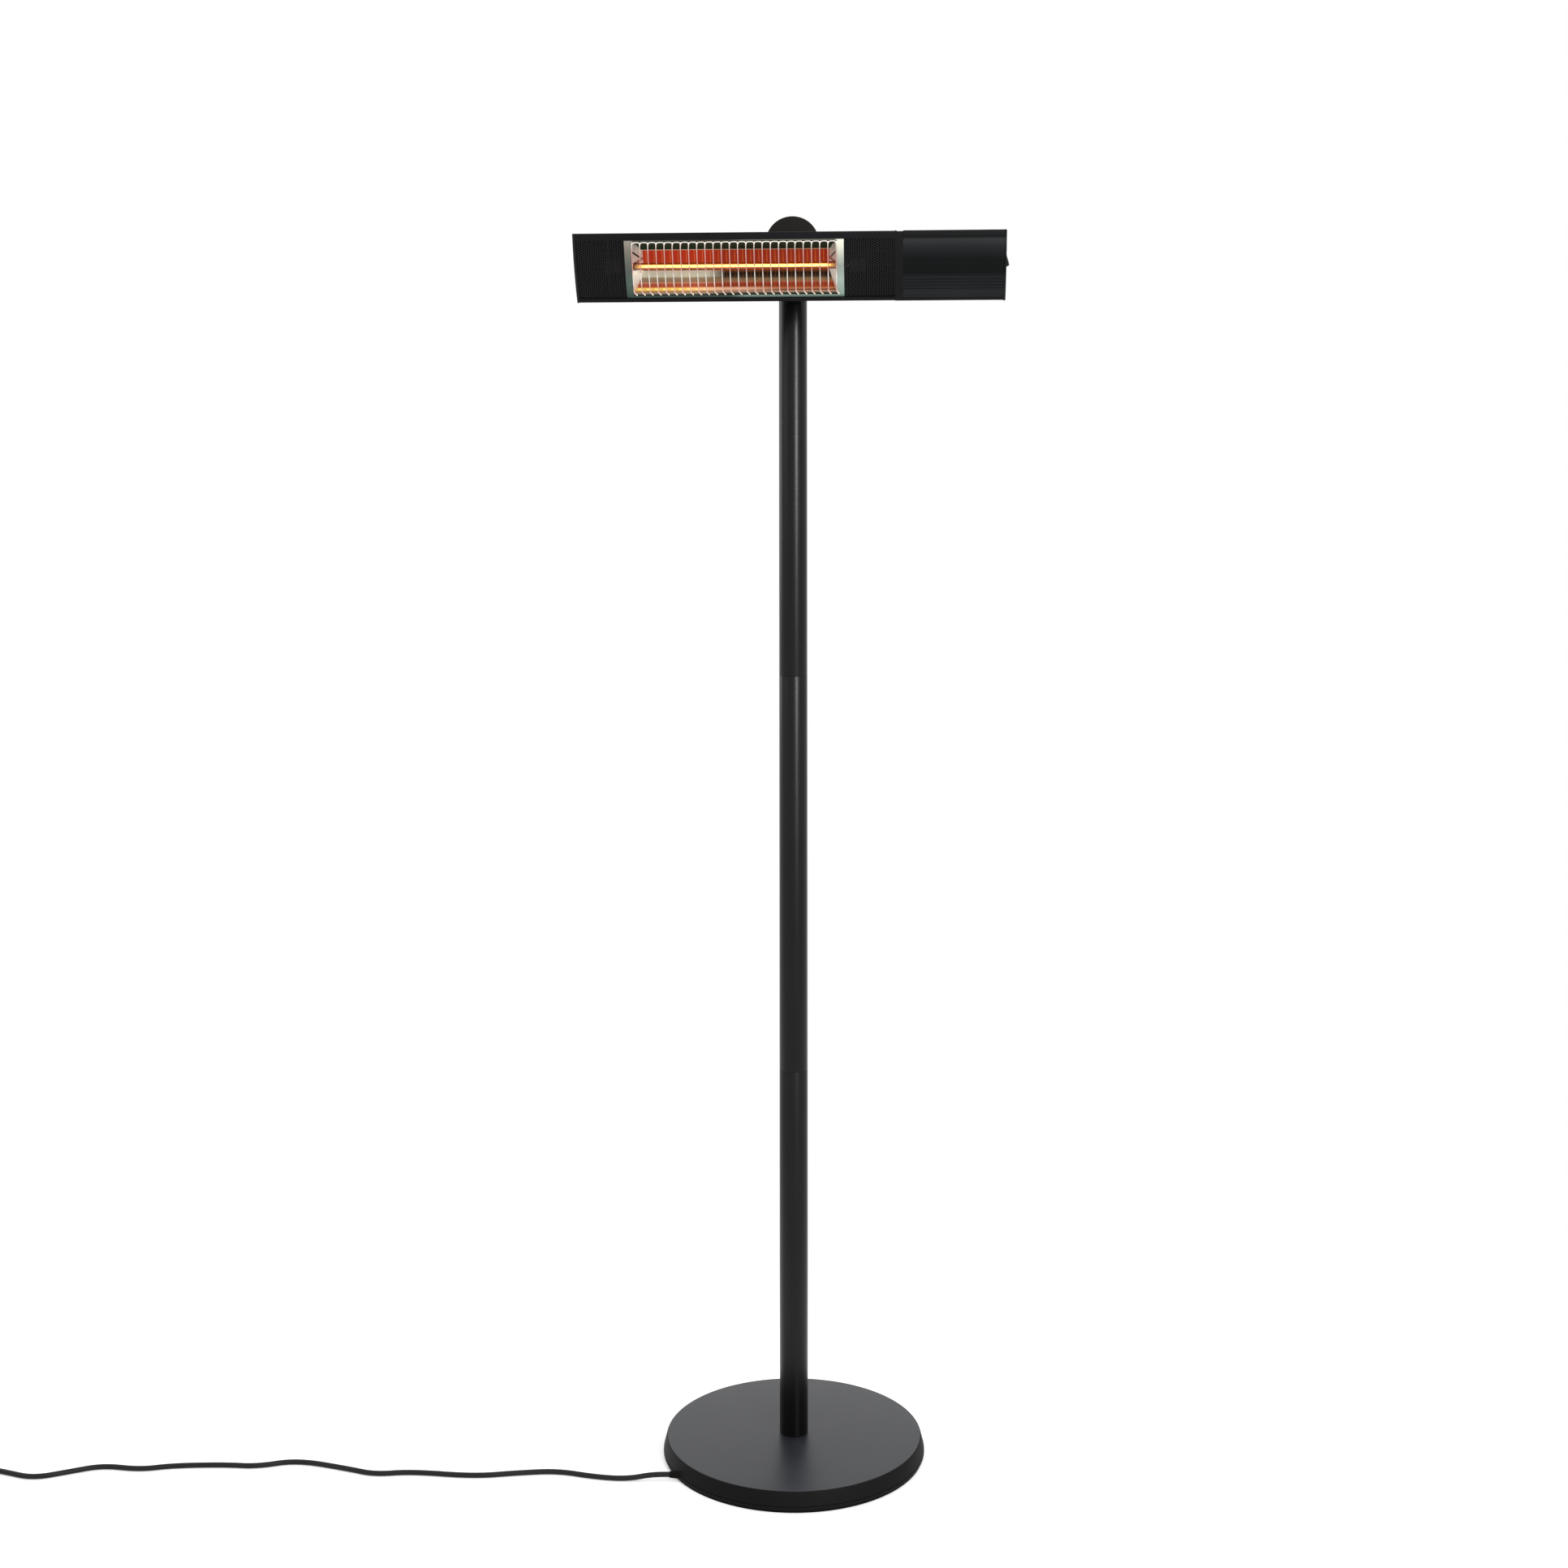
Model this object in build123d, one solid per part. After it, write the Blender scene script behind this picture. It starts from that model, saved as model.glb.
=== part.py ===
from build123d import *
import math
import os

# Infrared patio heater tower, in millimetres.
# +Z is up, the origin is on the floor under the pole's axis, the head runs along X
# and its window looks towards -Y, tilted down.

# ---- base ----
BASE_TOP_RADIUS = 179.5
BASE_RIM_RADIUS = 184.5
BASE_TOP_Z = 27.5
BASE_EDGE = 3.0
BASE_SHEET = 2.0
LIP_TOP_Z = 7.5
LIP_BOTTOM_Z = 4.0
GROOVE_TOP_Z = 9.0
GROOVE_DEPTH = 1.5
FOOT_RING_OUTER = 182.5
FOOT_RING_INNER = 160.0
PLATE_THICKNESS = 1.5
PLATE_PLAY = 0.7
WEIGHT_OUTER = 168.0
WEIGHT_INNER = 60.0
WEIGHT_HEIGHT = 14.0
LANE_HALF = 25.0
PLATE_SCREW_COUNT = 4
PLATE_SCREW_RING = 115.0
PLATE_SCREW_REACH = 12.0
HUB_FLANGE_RADIUS = 55.0
HUB_FLANGE_THICKNESS = 6.0
HUB_SCREW_RING = 42.0
HUB_SCREW_COUNT = 4
SMALL_SIDES = 12
HIDDEN_SIDES = 36
M6_RADIUS = 3.0
M6_HEAD_RADIUS = 5.5
M6_HEAD_HEIGHT = 4.0

# ---- pole ----
POLE_RADIUS = 20.0
POLE_WALL = 1.6
POLE_SECTION = 514.5
UPPER_SECTION = 558.7
SEAM_EDGE = 0.5
SPIGOT_REACH = 60.0
SPIGOT_FIT = 0.15
SLEEVE_WALL = 2.4
LEAD_BORE_RADIUS = 8.0
BUSH_RADIUS = 6.0
BUSH_REACH = 6.0
BUSH_RIM_RADIUS = 9.0
BUSH_RIM = 3.0

# ---- top fitting and tilt joint ----
DRUM_RADIUS = 38.0
DRUM_Z = 1712.4
DRUM_FRONT_Y = -20.0
DRUM_BACK_Y = 20.0
DRUM_EDGE = 1.2
FORK_PLATE_RADIUS = 30.0
FORK_PLATE_THICKNESS = 5.0
FORK_PLATE_TOP = 15.0
FORK_EAR_INNER = 14.0
FORK_EAR_THICKNESS = 6.0
FORK_EAR_RADIUS = 12.0
FORK_SCREW_RING = 24.7
FORK_SCREW_GRIP = 12.0
FORK_SCREW_TURNS = (25.0, 155.0, 250.0, 290.0)
M5_RADIUS = 2.5
M5_HEAD_RADIUS = 4.2
M4_RADIUS = 2.0
M4_HEAD_RADIUS = 3.5
M4_HEAD_HEIGHT = 2.0
M4_REACH = 10.0
M5_HEAD_HEIGHT = 3.0
BOLT_RADIUS = 4.0
RUNNING_CLEARANCE = 0.05
BOLT_HEAD_HEIGHT = 5.5
BOLT_HEAD_ACROSS = 13.0
WASHER_RADIUS = 9.0
WASHER_THICKNESS = 1.5
KNOB_RADIUS = 15.0
KNOB_LENGTH = 18.0
KNOB_FLUTES = 10
KNOB_FLUTE_DEPTH = 2.0
KNOB_COLLAR_RADIUS = 9.5
KNOB_COLLAR = 4.0
KNOB_ROOF = 3.0
BOLT_END_GAP = 1.0
PIVOT_Y = -44.4
PIVOT_Z = 1706.3
HEAD_TILT = 27.0
SIDE_PLAY = 0.3
LUG_PLATE = 4.0
LUG_PLATE_HALF = 52.0
LUG_PLATE_HEIGHT = 16.0
LUG_PLATE_CORNER = 4.0
LUG_RADIUS = 11.0
LUG_SCREW_X = 45.0

# ---- head, measured from the tilt pivot, window looking along -Y ----
HEAD_FRONT_Y = -92.0
HEAD_DEPTH = 72.0
HEAD_HALF_FRONT = 50.0
HEAD_HALF_REAR = 22.0
HEAD_CROWN = 5.0
REAR_ROUND = 9.0
HEAD_WALL = 1.8
HEAD_LEFT = -289.0
HEAD_RIGHT = 292.0
COLLAR_LEFT = 145.0
COLLAR_RIGHT = 156.0
LIP_TOP = 9.8
LIP_BOTTOM = 6.3
END_CAP_THICKNESS = 3.0
END_CAP_RIM_DEPTH = 8.0
END_CAP_EDGE = 0.8
END_CAP_RIM_SETBACK = 4.5
END_CAP_CUT = 20.0
END_SCREW_INSET = 12.0
END_SCREW_DROP = 16.0
END_SCREW_RECESS = 2.2
END_SCREW_PLAY = 0.3
FRONT_MARGIN = 20.0
ZONE_DEPTH = 14.0
ZONE_OVERCUT = 0.2
PANEL_GAP = 0.05
MESH_THICKNESS = 1.0
WINDOW_LEFT = -222.0
WINDOW_RIGHT = 76.0
FRAME_SIDE = 9.2
FRAME_THICKNESS = 1.2
FRAME_TOP = 38.2
FRAME_BOTTOM = -39.5
PANEL_TUCK = 45.0

# ---- reflector: depths behind the window's chord, and half heights ----
SHEET = 0.8
REFLECTOR_MOUTH_DEPTH = 1.4
REFLECTOR_MOUTH_HALF = 38.0
REFLECTOR_CREASE_DEPTH = 17.0
REFLECTOR_CREASE_HALF = 25.5
REFLECTOR_BACK_DEPTH = 30.0
REFLECTOR_BACK_HALF = 14.3
END_PLATE_INSET = 10.8
TUBE_HOLE_PLAY = 1.0
TUBE_DEPTH = 7.0
TUBE_RADIUS = 5.0
TUBE_WALL = 1.0
TUBE_OVERHANG = 24.0
FILAMENT_RADIUS = 1.6
CAP_LENGTH = 22.0
CAP_HEIGHT = 18.0
CAP_DEPTH = 13.0
CAP_GRIP = 8.0
CAP_EDGE = 2.0
BRACKET_THICKNESS = 1.2
BRACKET_OFFSET = 8.0
BRACKET_PLAY = 0.4
BRACKET_DEPTH = 38.0

# ---- wire guard ----
GUARD_WIRES = 26
GUARD_PITCH = 11.1
GUARD_WIRE_RADIUS = 0.9
GUARD_HALF = 36.5
GUARD_CORNER = 2.2
GUARD_SIDES = 4
GUARD_RAIL_RADIUS = 1.1
GUARD_RAIL_INSET = 1.0
GUARD_LEG_DEPTH = 1.0

# ---- control cover ----
COVER_WALL = 2.2
CONTROL_STEP = 0.5
COVER_SEAM_DEPTH = 4.0
NOTCH_DEPTH = 1.0
NOTCH_OFFSET = 2.5
RIB_COUNT = 5
RIB_FIRST_Z = -12.6
RIB_PITCH = 4.65
RIB_GROOVE = 1.5
RIB_DEPTH = 0.9
BAND_LINE_TOP = 42.4
BAND_LINE_BOTTOM = -41.2
BAND_LINE_HALF = 0.4

# ---- cable gland in the back of the control end ----
GLAND_NUT_RADIUS = 10.0
GLAND_NUT = 6.0
GLAND_DOME_RADIUS = 7.5
GLAND_LENGTH = 14.0

# ---- terminal block in the control end ----
TERMINAL_X = 190.0
TERMINAL_Y = -46.0
TERMINAL_PITCH = 10.5
TERMINAL_HALF_LENGTH = 17.0
TERMINAL_HALF_WIDTH = 9.0
TERMINAL_LOW = -11.0
TERMINAL_HIGH = 5.0
TERMINAL_HOLE_Z = 0.5
TERMINAL_HOLE_HALF = 3.0
TERMINAL_WELL_RADIUS = 3.0
TERMINAL_WELL_BOTTOM = 2.0
TERMINAL_SCREW_LOW = 4.2
TERMINAL_SCREW_HIGH = 6.2

# ---- rocker switch in the right end cap ----
SWITCH_Y = -56.0
SWITCH_Z = 2.0
ROCKER_HALF = 14.2
ROCKER_SWING_RADIUS = 14.8
ROCKER_HALF_WIDTH = 9.0
ROCKER_ANGLE = 18.0
ROCKER_RISE = 6.2
HINGE_DEPTH = 5.0
BEZEL_HALF = 17.0
BEZEL_HALF_WIDTH = 12.0
BEZEL_THICKNESS = 1.5
SWITCH_OPENING_HALF = 15.2
SWITCH_OPENING_WIDTH = 9.4
SWITCH_SHELL_HALF = 16.2
SWITCH_SHELL_WIDTH = 10.6
SWITCH_DEPTH = 30.0
CAVITY_DEPTH = 7.0
ROCKER_PIN_RADIUS = 1.5
TAB_LENGTH = 8.0
TAB_Z = 8.0
TAB_HALF_WIDTH = 3.2
TAB_HALF_THICKNESS = 0.4
BEZEL_CORNER = 1.5
BEZEL_EDGE = 0.6
PIN_SEAT = 0.6
PIN_END = 0.4
ROCKER_TOP_DROP = 1.0
ROCKER_BOTTOM_DEPTH = 1.0
ROCKER_WAIST_DEPTH = 2.0

# ---- mains cord ----
CORD_RADIUS = 3.5
CORD_SIDES = 8
INNER_SIDES = 6
WIRE_SIDES = 4
FLOOR_Z = CORD_RADIUS
EXIT_Z = 8.0
EXIT_X = -166.0
EXIT_Y = -99.0
GROMMET_INSIDE = 26.0
ENTRY_NOTCH_LENGTH = 58.0
ENTRY_NOTCH_LOW = 6.0
ENTRY_NOTCH_HIGH = 18.0
GROMMET_RADIUS = 5.5
GROMMET_TIP_RADIUS = 4.2
GROMMET_TAPER_SHARE = 0.62
INNER_LEAD_Z = 12.0
INNER_BEND = 12.0
INNER_WIRE_RADIUS = 1.2
INNER_WIRE_BEND = 4.0
WIRE_BEHIND = 18.0
WIRE_SIDE_STEP = 16.0
WIRE_UPPER_STEP = 26.0
WIRE_END_REACH = 2.0
PASSAGE_MARGIN = 4.0
ARC_SHARE = 0.45
COIL_OUTER = 43.0
COIL_STEP = 7.6
COIL_HALF_TURNS = 3
COIL_RISE = 7.6
COIL_X = -1158.0
COIL_SAMPLE = 2.5
LEAD_HOLE_RADIUS = 4.2
PLUG_Z = 18.5
TAIL_FLAT = 10.0
TAIL_RISE_LENGTH = 34.0
PLUG_RADIUS = 18.5
PLUG_BODY = 22.0
PLUG_GRIP = 20.0
PLUG_RELIEF = 22.0
PLUG_RELIEF_RADIUS = 5.5
PLUG_GRIP_RADIUS = 12.5
PIN_RADIUS = 2.4
PIN_LENGTH = 19.0
PIN_SPACING = 19.0

OUT = "parts"


# ---- shared helpers ----

def save(name, shape):
    export_step(shape, os.path.join(OUT, name + ".step"))


def rod(radius, length, sides):
    """A round rod from the ground up, or a prism with its corners on the radius."""
    if sides:
        return extrude(RegularPolygon(radius, sides), length)
    return Cylinder(radius, length, align=(Align.CENTER, Align.CENTER, Align.MIN))


def upright_cylinder(radius, z_from, z_to, x=0.0, y=0.0, sides=0):
    return Pos(x, y, z_from) * rod(radius, z_to - z_from, sides)


def cylinder_along_x(radius, x_from, x_to, y=0.0, z=0.0, sides=0):
    return Pos(x_from, y, z) * Rot(0, 90, 0) * rod(radius, x_to - x_from, sides)


def cylinder_along_y(radius, y_from, y_to, x=0.0, z=0.0, sides=0):
    return Pos(x, y_from, z) * Rot(-90, 0, 0) * rod(radius, y_to - y_from, sides)


def bolt(shank_radius, reach, head_radius, head_height):
    """A small hexagon bolt, its head below the ground plane and its shank above it."""
    shank = upright_cylinder(shank_radius, 0, reach, sides=SMALL_SIDES)
    return shank + upright_cylinder(head_radius, -head_height, 0, sides=6)


def block(x_from, x_to, y_from, y_to, z_from, z_to):
    solid = Box(x_to - x_from, y_to - y_from, z_to - z_from, align=(Align.MIN, Align.MIN, Align.MIN))
    return Pos(x_from, y_from, z_from) * solid


def ring_of(piece, count, radius, start=45.0):
    """Copies of a piece on a circle round the Z axis."""
    turns = [start + 360.0 / count * i for i in range(count)]
    return [Rot(0, 0, turn) * Pos(radius, 0, 0) * piece for turn in turns]


def group(pieces):
    return Compound(children=[piece for piece in pieces])


def head_slice(face, x_from, x_to):
    """A head section, drawn as (y, z), run along X."""
    return extrude(Plane.YZ.offset(x_from) * face, x_to - x_from)


def on_head(shape):
    """From the head's own frame at the pivot to its place on the pole."""
    return Location((0, PIVOT_Y, PIVOT_Z), (HEAD_TILT, 0, 0)) * shape


# ---- base ----

def base_profile():
    groove_radius = BASE_RIM_RADIUS - GROOVE_DEPTH
    bore_radius = POLE_RADIUS - POLE_WALL
    return make_face(Polyline(
        (bore_radius, BASE_TOP_Z),
        (BASE_TOP_RADIUS - BASE_EDGE, BASE_TOP_Z),
        (BASE_TOP_RADIUS, BASE_TOP_Z - BASE_EDGE),
        (BASE_RIM_RADIUS, GROOVE_TOP_Z),
        (groove_radius, GROOVE_TOP_Z),
        (groove_radius, LIP_TOP_Z),
        (BASE_RIM_RADIUS, LIP_TOP_Z),
        (BASE_RIM_RADIUS, LIP_BOTTOM_Z),
        (groove_radius - BASE_SHEET, LIP_BOTTOM_Z),
        (BASE_TOP_RADIUS - BASE_EDGE - BASE_SHEET, BASE_TOP_Z - BASE_SHEET),
        (bore_radius, BASE_TOP_Z - BASE_SHEET),
        close=True,
    ))


def cord_passage(radius):
    """The round way through the rim that the strain relief sits in."""
    x_to = EXIT_X + GROMMET_INSIDE + PASSAGE_MARGIN
    return cylinder_along_x(radius, EXIT_X - GROMMET_RADIUS, x_to, EXIT_Y, EXIT_Z, sides=SMALL_SIDES)


def make_base_cover():
    shell = revolve(Plane.XZ * base_profile(), Axis.Z)
    return shell - cord_passage(GROMMET_RADIUS + RUNNING_CLEARANCE)


def make_base_weight():
    bottom = LIP_BOTTOM_Z + PLATE_THICKNESS
    weight = upright_cylinder(WEIGHT_OUTER, bottom, bottom + WEIGHT_HEIGHT, sides=HIDDEN_SIDES)
    weight -= upright_cylinder(WEIGHT_INNER, bottom, bottom + WEIGHT_HEIGHT, sides=HIDDEN_SIDES)
    lane = block(-LANE_HALF, LANE_HALF, -WEIGHT_OUTER, 0, bottom, bottom + WEIGHT_HEIGHT)
    lane_turn = math.degrees(math.atan2(-EXIT_Y, -EXIT_X)) - 90
    weight -= Rot(0, 0, lane_turn) * lane
    for hole in plate_screw_holes():
        weight -= hole
    return weight


def make_base_plate():
    top = LIP_BOTTOM_Z + PLATE_THICKNESS
    radius = BASE_RIM_RADIUS - GROOVE_DEPTH - BASE_SHEET - PLATE_PLAY
    plate = upright_cylinder(radius, LIP_BOTTOM_Z, top, sides=2 * HIDDEN_SIDES)
    plate -= block(EXIT_X - GROMMET_INSIDE, EXIT_X + ENTRY_NOTCH_LENGTH,
                   EXIT_Y - ENTRY_NOTCH_LOW, EXIT_Y + ENTRY_NOTCH_HIGH, 0, top)
    for hole in plate_screw_holes():
        plate -= hole
    return plate


def plate_screw_holes():
    hole = upright_cylinder(M5_RADIUS + RUNNING_CLEARANCE, 0, BASE_TOP_Z, sides=SMALL_SIDES)
    return ring_of(hole, PLATE_SCREW_COUNT, PLATE_SCREW_RING, start=0.0)


def make_foot_ring():
    ring = upright_cylinder(FOOT_RING_OUTER, 0, LIP_BOTTOM_Z)
    ring -= upright_cylinder(FOOT_RING_INNER, 0, LIP_BOTTOM_Z, sides=2 * HIDDEN_SIDES)
    return ring - cord_passage(GROMMET_RADIUS + RUNNING_CLEARANCE)


def make_plate_screws():
    screw = Pos(0, 0, LIP_BOTTOM_Z) * bolt(M5_RADIUS, PLATE_SCREW_REACH, M5_HEAD_RADIUS, M5_HEAD_HEIGHT)
    return group(ring_of(screw, PLATE_SCREW_COUNT, PLATE_SCREW_RING, start=0.0))


def make_pole_hub():
    top = BASE_TOP_Z - BASE_SHEET
    spigot_radius = POLE_RADIUS - POLE_WALL - SPIGOT_FIT
    hub = upright_cylinder(HUB_FLANGE_RADIUS, top - HUB_FLANGE_THICKNESS, top, sides=HIDDEN_SIDES)
    hub += upright_cylinder(spigot_radius, top, BASE_TOP_Z + SPIGOT_REACH, sides=HIDDEN_SIDES)
    hub -= upright_cylinder(LEAD_BORE_RADIUS, 0, BASE_TOP_Z + SPIGOT_REACH, sides=SMALL_SIDES)
    hole = upright_cylinder(M6_RADIUS + RUNNING_CLEARANCE, 0, BASE_TOP_Z, sides=SMALL_SIDES)
    for placed in ring_of(hole, HUB_SCREW_COUNT, HUB_SCREW_RING):
        hub -= placed
    return hub


def make_hub_screws():
    bottom = BASE_TOP_Z - BASE_SHEET - HUB_FLANGE_THICKNESS
    screw = Pos(0, 0, bottom) * bolt(M6_RADIUS, HUB_FLANGE_THICKNESS, M6_HEAD_RADIUS, M6_HEAD_HEIGHT)
    return group(ring_of(screw, HUB_SCREW_COUNT, HUB_SCREW_RING))


# ---- pole ----

def pole_tube(z_from, length):
    tube = upright_cylinder(POLE_RADIUS, z_from, z_from + length)
    tube = chamfer(tube.edges().filter_by(GeomType.CIRCLE), SEAM_EDGE)
    return tube - upright_cylinder(POLE_RADIUS - POLE_WALL, z_from, z_from + length)


def seam_heights():
    first = BASE_TOP_Z + POLE_SECTION
    second = first + UPPER_SECTION
    return first, second, second + UPPER_SECTION


def make_joint_sleeve(seam_z):
    """The tube inside two pole sections, half of its length in each."""
    radius = POLE_RADIUS - POLE_WALL - SPIGOT_FIT
    bottom, top = seam_z - SPIGOT_REACH, seam_z + SPIGOT_REACH
    sleeve = upright_cylinder(radius, bottom, top, sides=HIDDEN_SIDES)
    return sleeve - upright_cylinder(radius - SLEEVE_WALL, bottom, top, sides=HIDDEN_SIDES)


def make_top_fitting():
    pole_top = seam_heights()[2]
    drum = cylinder_along_y(DRUM_RADIUS, DRUM_FRONT_Y, DRUM_BACK_Y, z=DRUM_Z)
    drum = chamfer(drum.edges().sort_by(Axis.Y)[0], DRUM_EDGE)
    neck = upright_cylinder(POLE_RADIUS, pole_top, DRUM_Z - DRUM_RADIUS / 2)
    spigot_radius = POLE_RADIUS - POLE_WALL - SPIGOT_FIT
    spigot = upright_cylinder(spigot_radius, pole_top - SPIGOT_REACH, pole_top, sides=HIDDEN_SIDES)
    fitting = drum + neck + spigot
    fitting -= upright_cylinder(LEAD_BORE_RADIUS, pole_top - SPIGOT_REACH, DRUM_Z + BUSH_RADIUS)
    fitting -= cylinder_along_y(BUSH_RADIUS, 0, DRUM_BACK_Y, z=DRUM_Z, sides=SMALL_SIDES)
    grip_end = DRUM_FRONT_Y + FORK_SCREW_GRIP
    for hole in fork_screw_rods(M5_RADIUS + RUNNING_CLEARANCE, DRUM_FRONT_Y, grip_end, SMALL_SIDES):
        fitting -= hole
    return fitting


def fork_screw_rods(radius, y_from, y_to, sides):
    turns = [math.radians(turn) for turn in FORK_SCREW_TURNS]
    places = [(FORK_SCREW_RING * math.cos(turn), FORK_SCREW_RING * math.sin(turn)) for turn in turns]
    return [cylinder_along_y(radius, y_from, y_to, x, DRUM_Z + z, sides=sides) for x, z in places]


def make_lead_bush():
    """The rubber bush at the drum's back that the lead to the head comes out of."""
    inside, outside = DRUM_BACK_Y - BUSH_REACH, DRUM_BACK_Y + BUSH_RIM
    bush = cylinder_along_y(BUSH_RADIUS - SPIGOT_FIT, inside, DRUM_BACK_Y, z=DRUM_Z, sides=SMALL_SIDES)
    bush += cylinder_along_y(BUSH_RIM_RADIUS, DRUM_BACK_Y, outside, z=DRUM_Z, sides=2 * SMALL_SIDES)
    return bush - cylinder_along_y(LEAD_HOLE_RADIUS, inside, outside, z=DRUM_Z, sides=SMALL_SIDES)


def make_tilt_fork():
    plate_front = DRUM_FRONT_Y - FORK_PLATE_THICKNESS
    fork = cylinder_along_y(FORK_PLATE_RADIUS, plate_front, DRUM_FRONT_Y, z=DRUM_Z, sides=HIDDEN_SIDES)
    fork -= block(-FORK_PLATE_RADIUS, FORK_PLATE_RADIUS, plate_front, DRUM_FRONT_Y,
                  DRUM_Z + FORK_PLATE_TOP, DRUM_Z + FORK_PLATE_RADIUS)
    for side in (-1, 1):
        inner = side * FORK_EAR_INNER
        outer = side * (FORK_EAR_INNER + FORK_EAR_THICKNESS)
        left, right = min(inner, outer), max(inner, outer)
        ear = block(left, right, PIVOT_Y, plate_front, PIVOT_Z - FORK_EAR_RADIUS, PIVOT_Z + FORK_EAR_RADIUS)
        ear += cylinder_along_x(FORK_EAR_RADIUS, left, right, PIVOT_Y, PIVOT_Z)
        fork += ear
    fork -= cylinder_along_x(BOLT_RADIUS + RUNNING_CLEARANCE, -DRUM_RADIUS, DRUM_RADIUS, PIVOT_Y, PIVOT_Z)
    for hole in fork_screw_rods(M5_RADIUS + RUNNING_CLEARANCE, plate_front, DRUM_FRONT_Y, SMALL_SIDES):
        fork -= hole
    return fork


def make_fork_screws():
    plate_front = DRUM_FRONT_Y - FORK_PLATE_THICKNESS
    shanks = fork_screw_rods(M5_RADIUS, plate_front, DRUM_FRONT_Y + FORK_SCREW_GRIP, SMALL_SIDES)
    heads = fork_screw_rods(M5_HEAD_RADIUS, plate_front - M5_HEAD_HEIGHT, plate_front, 6)
    return group([shank + head for shank, head in zip(shanks, heads)])


def make_tilt_bolt():
    ear_outer = FORK_EAR_INNER + FORK_EAR_THICKNESS
    bolt_end = ear_outer + WASHER_THICKNESS + KNOB_LENGTH - KNOB_ROOF - BOLT_END_GAP
    shank = cylinder_along_x(BOLT_RADIUS, -ear_outer, bolt_end)
    hexagon = RegularPolygon(BOLT_HEAD_ACROSS / 2, 6, major_radius=False)
    head = extrude(Plane.YZ.offset(-ear_outer - BOLT_HEAD_HEIGHT) * hexagon, BOLT_HEAD_HEIGHT)
    return Pos(0, PIVOT_Y, PIVOT_Z) * (shank + head)


def make_knob_washer():
    start = FORK_EAR_INNER + FORK_EAR_THICKNESS
    end = start + WASHER_THICKNESS
    washer = cylinder_along_x(WASHER_RADIUS, start, end, sides=2 * SMALL_SIDES)
    washer -= cylinder_along_x(BOLT_RADIUS + RUNNING_CLEARANCE, start, end)
    return Pos(0, PIVOT_Y, PIVOT_Z) * washer


def make_tilt_knob():
    """A hand knob with flutes round its grip and a collar towards the washer."""
    start = FORK_EAR_INNER + FORK_EAR_THICKNESS + WASHER_THICKNESS
    rim = []
    for i in range(2 * KNOB_FLUTES):
        turn = math.pi / KNOB_FLUTES * i
        reach = KNOB_RADIUS if i % 2 else KNOB_RADIUS - KNOB_FLUTE_DEPTH
        rim.append((reach * math.cos(turn), reach * math.sin(turn)))
    grip = make_face(Polyline(*rim, close=True))
    collar = RegularPolygon(KNOB_COLLAR_RADIUS, 2 * SMALL_SIDES)
    knob = extrude(Plane.YZ.offset(start) * collar, KNOB_COLLAR)
    knob += extrude(Plane.YZ.offset(start + KNOB_COLLAR) * grip, KNOB_LENGTH - KNOB_COLLAR)
    knob -= cylinder_along_x(BOLT_RADIUS + RUNNING_CLEARANCE, start, start + KNOB_LENGTH - KNOB_ROOF)
    return Pos(0, PIVOT_Y, PIVOT_Z) * knob


# ---- head shells ----

def head_outline():
    rear_y = HEAD_FRONT_Y + HEAD_DEPTH
    sides = Polyline(
        (HEAD_FRONT_Y, HEAD_HALF_FRONT),
        (rear_y, HEAD_HALF_REAR),
        (rear_y, -HEAD_HALF_REAR),
        (HEAD_FRONT_Y, -HEAD_HALF_FRONT),
    )
    crown = ThreePointArc(
        (HEAD_FRONT_Y, -HEAD_HALF_FRONT),
        (HEAD_FRONT_Y - HEAD_CROWN, 0),
        (HEAD_FRONT_Y, HEAD_HALF_FRONT),
    )
    face = make_face(Wire([*sides.edges(), crown]))
    rear_corners = face.vertices().sort_by(Axis.X)[-2:]
    return fillet(rear_corners, REAR_ROUND)


def grown(amount):
    """The head's outline, moved outwards by an amount, or inwards where it is negative."""
    if amount == 0:
        return head_outline()
    return offset(head_outline(), amount, kind=Kind.INTERSECTION)


def front_zone(z_from, z_to, depth=ZONE_DEPTH):
    """The part of a head section near the crowned front, between two heights."""
    start = HEAD_FRONT_Y - HEAD_CROWN - FRONT_MARGIN
    zone = Rectangle(HEAD_FRONT_Y + depth - start, z_to - z_from, align=(Align.MIN, Align.MIN))
    return Pos(start, z_from) * zone


def front_strip_zone(depth):
    """The whole height of the crowned front, to a depth behind its chord."""
    return front_zone(-2 * HEAD_HALF_FRONT, 2 * HEAD_HALF_FRONT, depth)


def crown_strip(inset_from, inset_to, z_from, z_to):
    ring = grown(-inset_from) - grown(-inset_to)
    return ring & front_zone(z_from, z_to, depth=inset_to + ZONE_OVERCUT)


def make_head_housing():
    mouth = front_zone(-HEAD_HALF_FRONT + LIP_BOTTOM, HEAD_HALF_FRONT - LIP_TOP)
    shell = grown(0) - grown(-HEAD_WALL) - mouth
    return head_slice(shell, HEAD_LEFT, COLLAR_LEFT)


def make_control_housing():
    ring = grown(CONTROL_STEP) - grown(CONTROL_STEP - COVER_WALL)
    collar = head_slice(ring, COLLAR_LEFT + PANEL_GAP, COLLAR_RIGHT)
    back = head_slice(ring - front_strip_zone(COVER_SEAM_DEPTH), COLLAR_RIGHT, HEAD_RIGHT)
    notch_zone = front_zone(HEAD_HALF_FRONT - LIP_TOP, HEAD_HALF_FRONT + HEAD_CROWN, HEAD_CROWN)
    notch_face = notch_zone - grown(CONTROL_STEP - NOTCH_DEPTH)
    return collar + back - head_slice(notch_face, COLLAR_LEFT + NOTCH_OFFSET, COLLAR_RIGHT)


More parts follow.
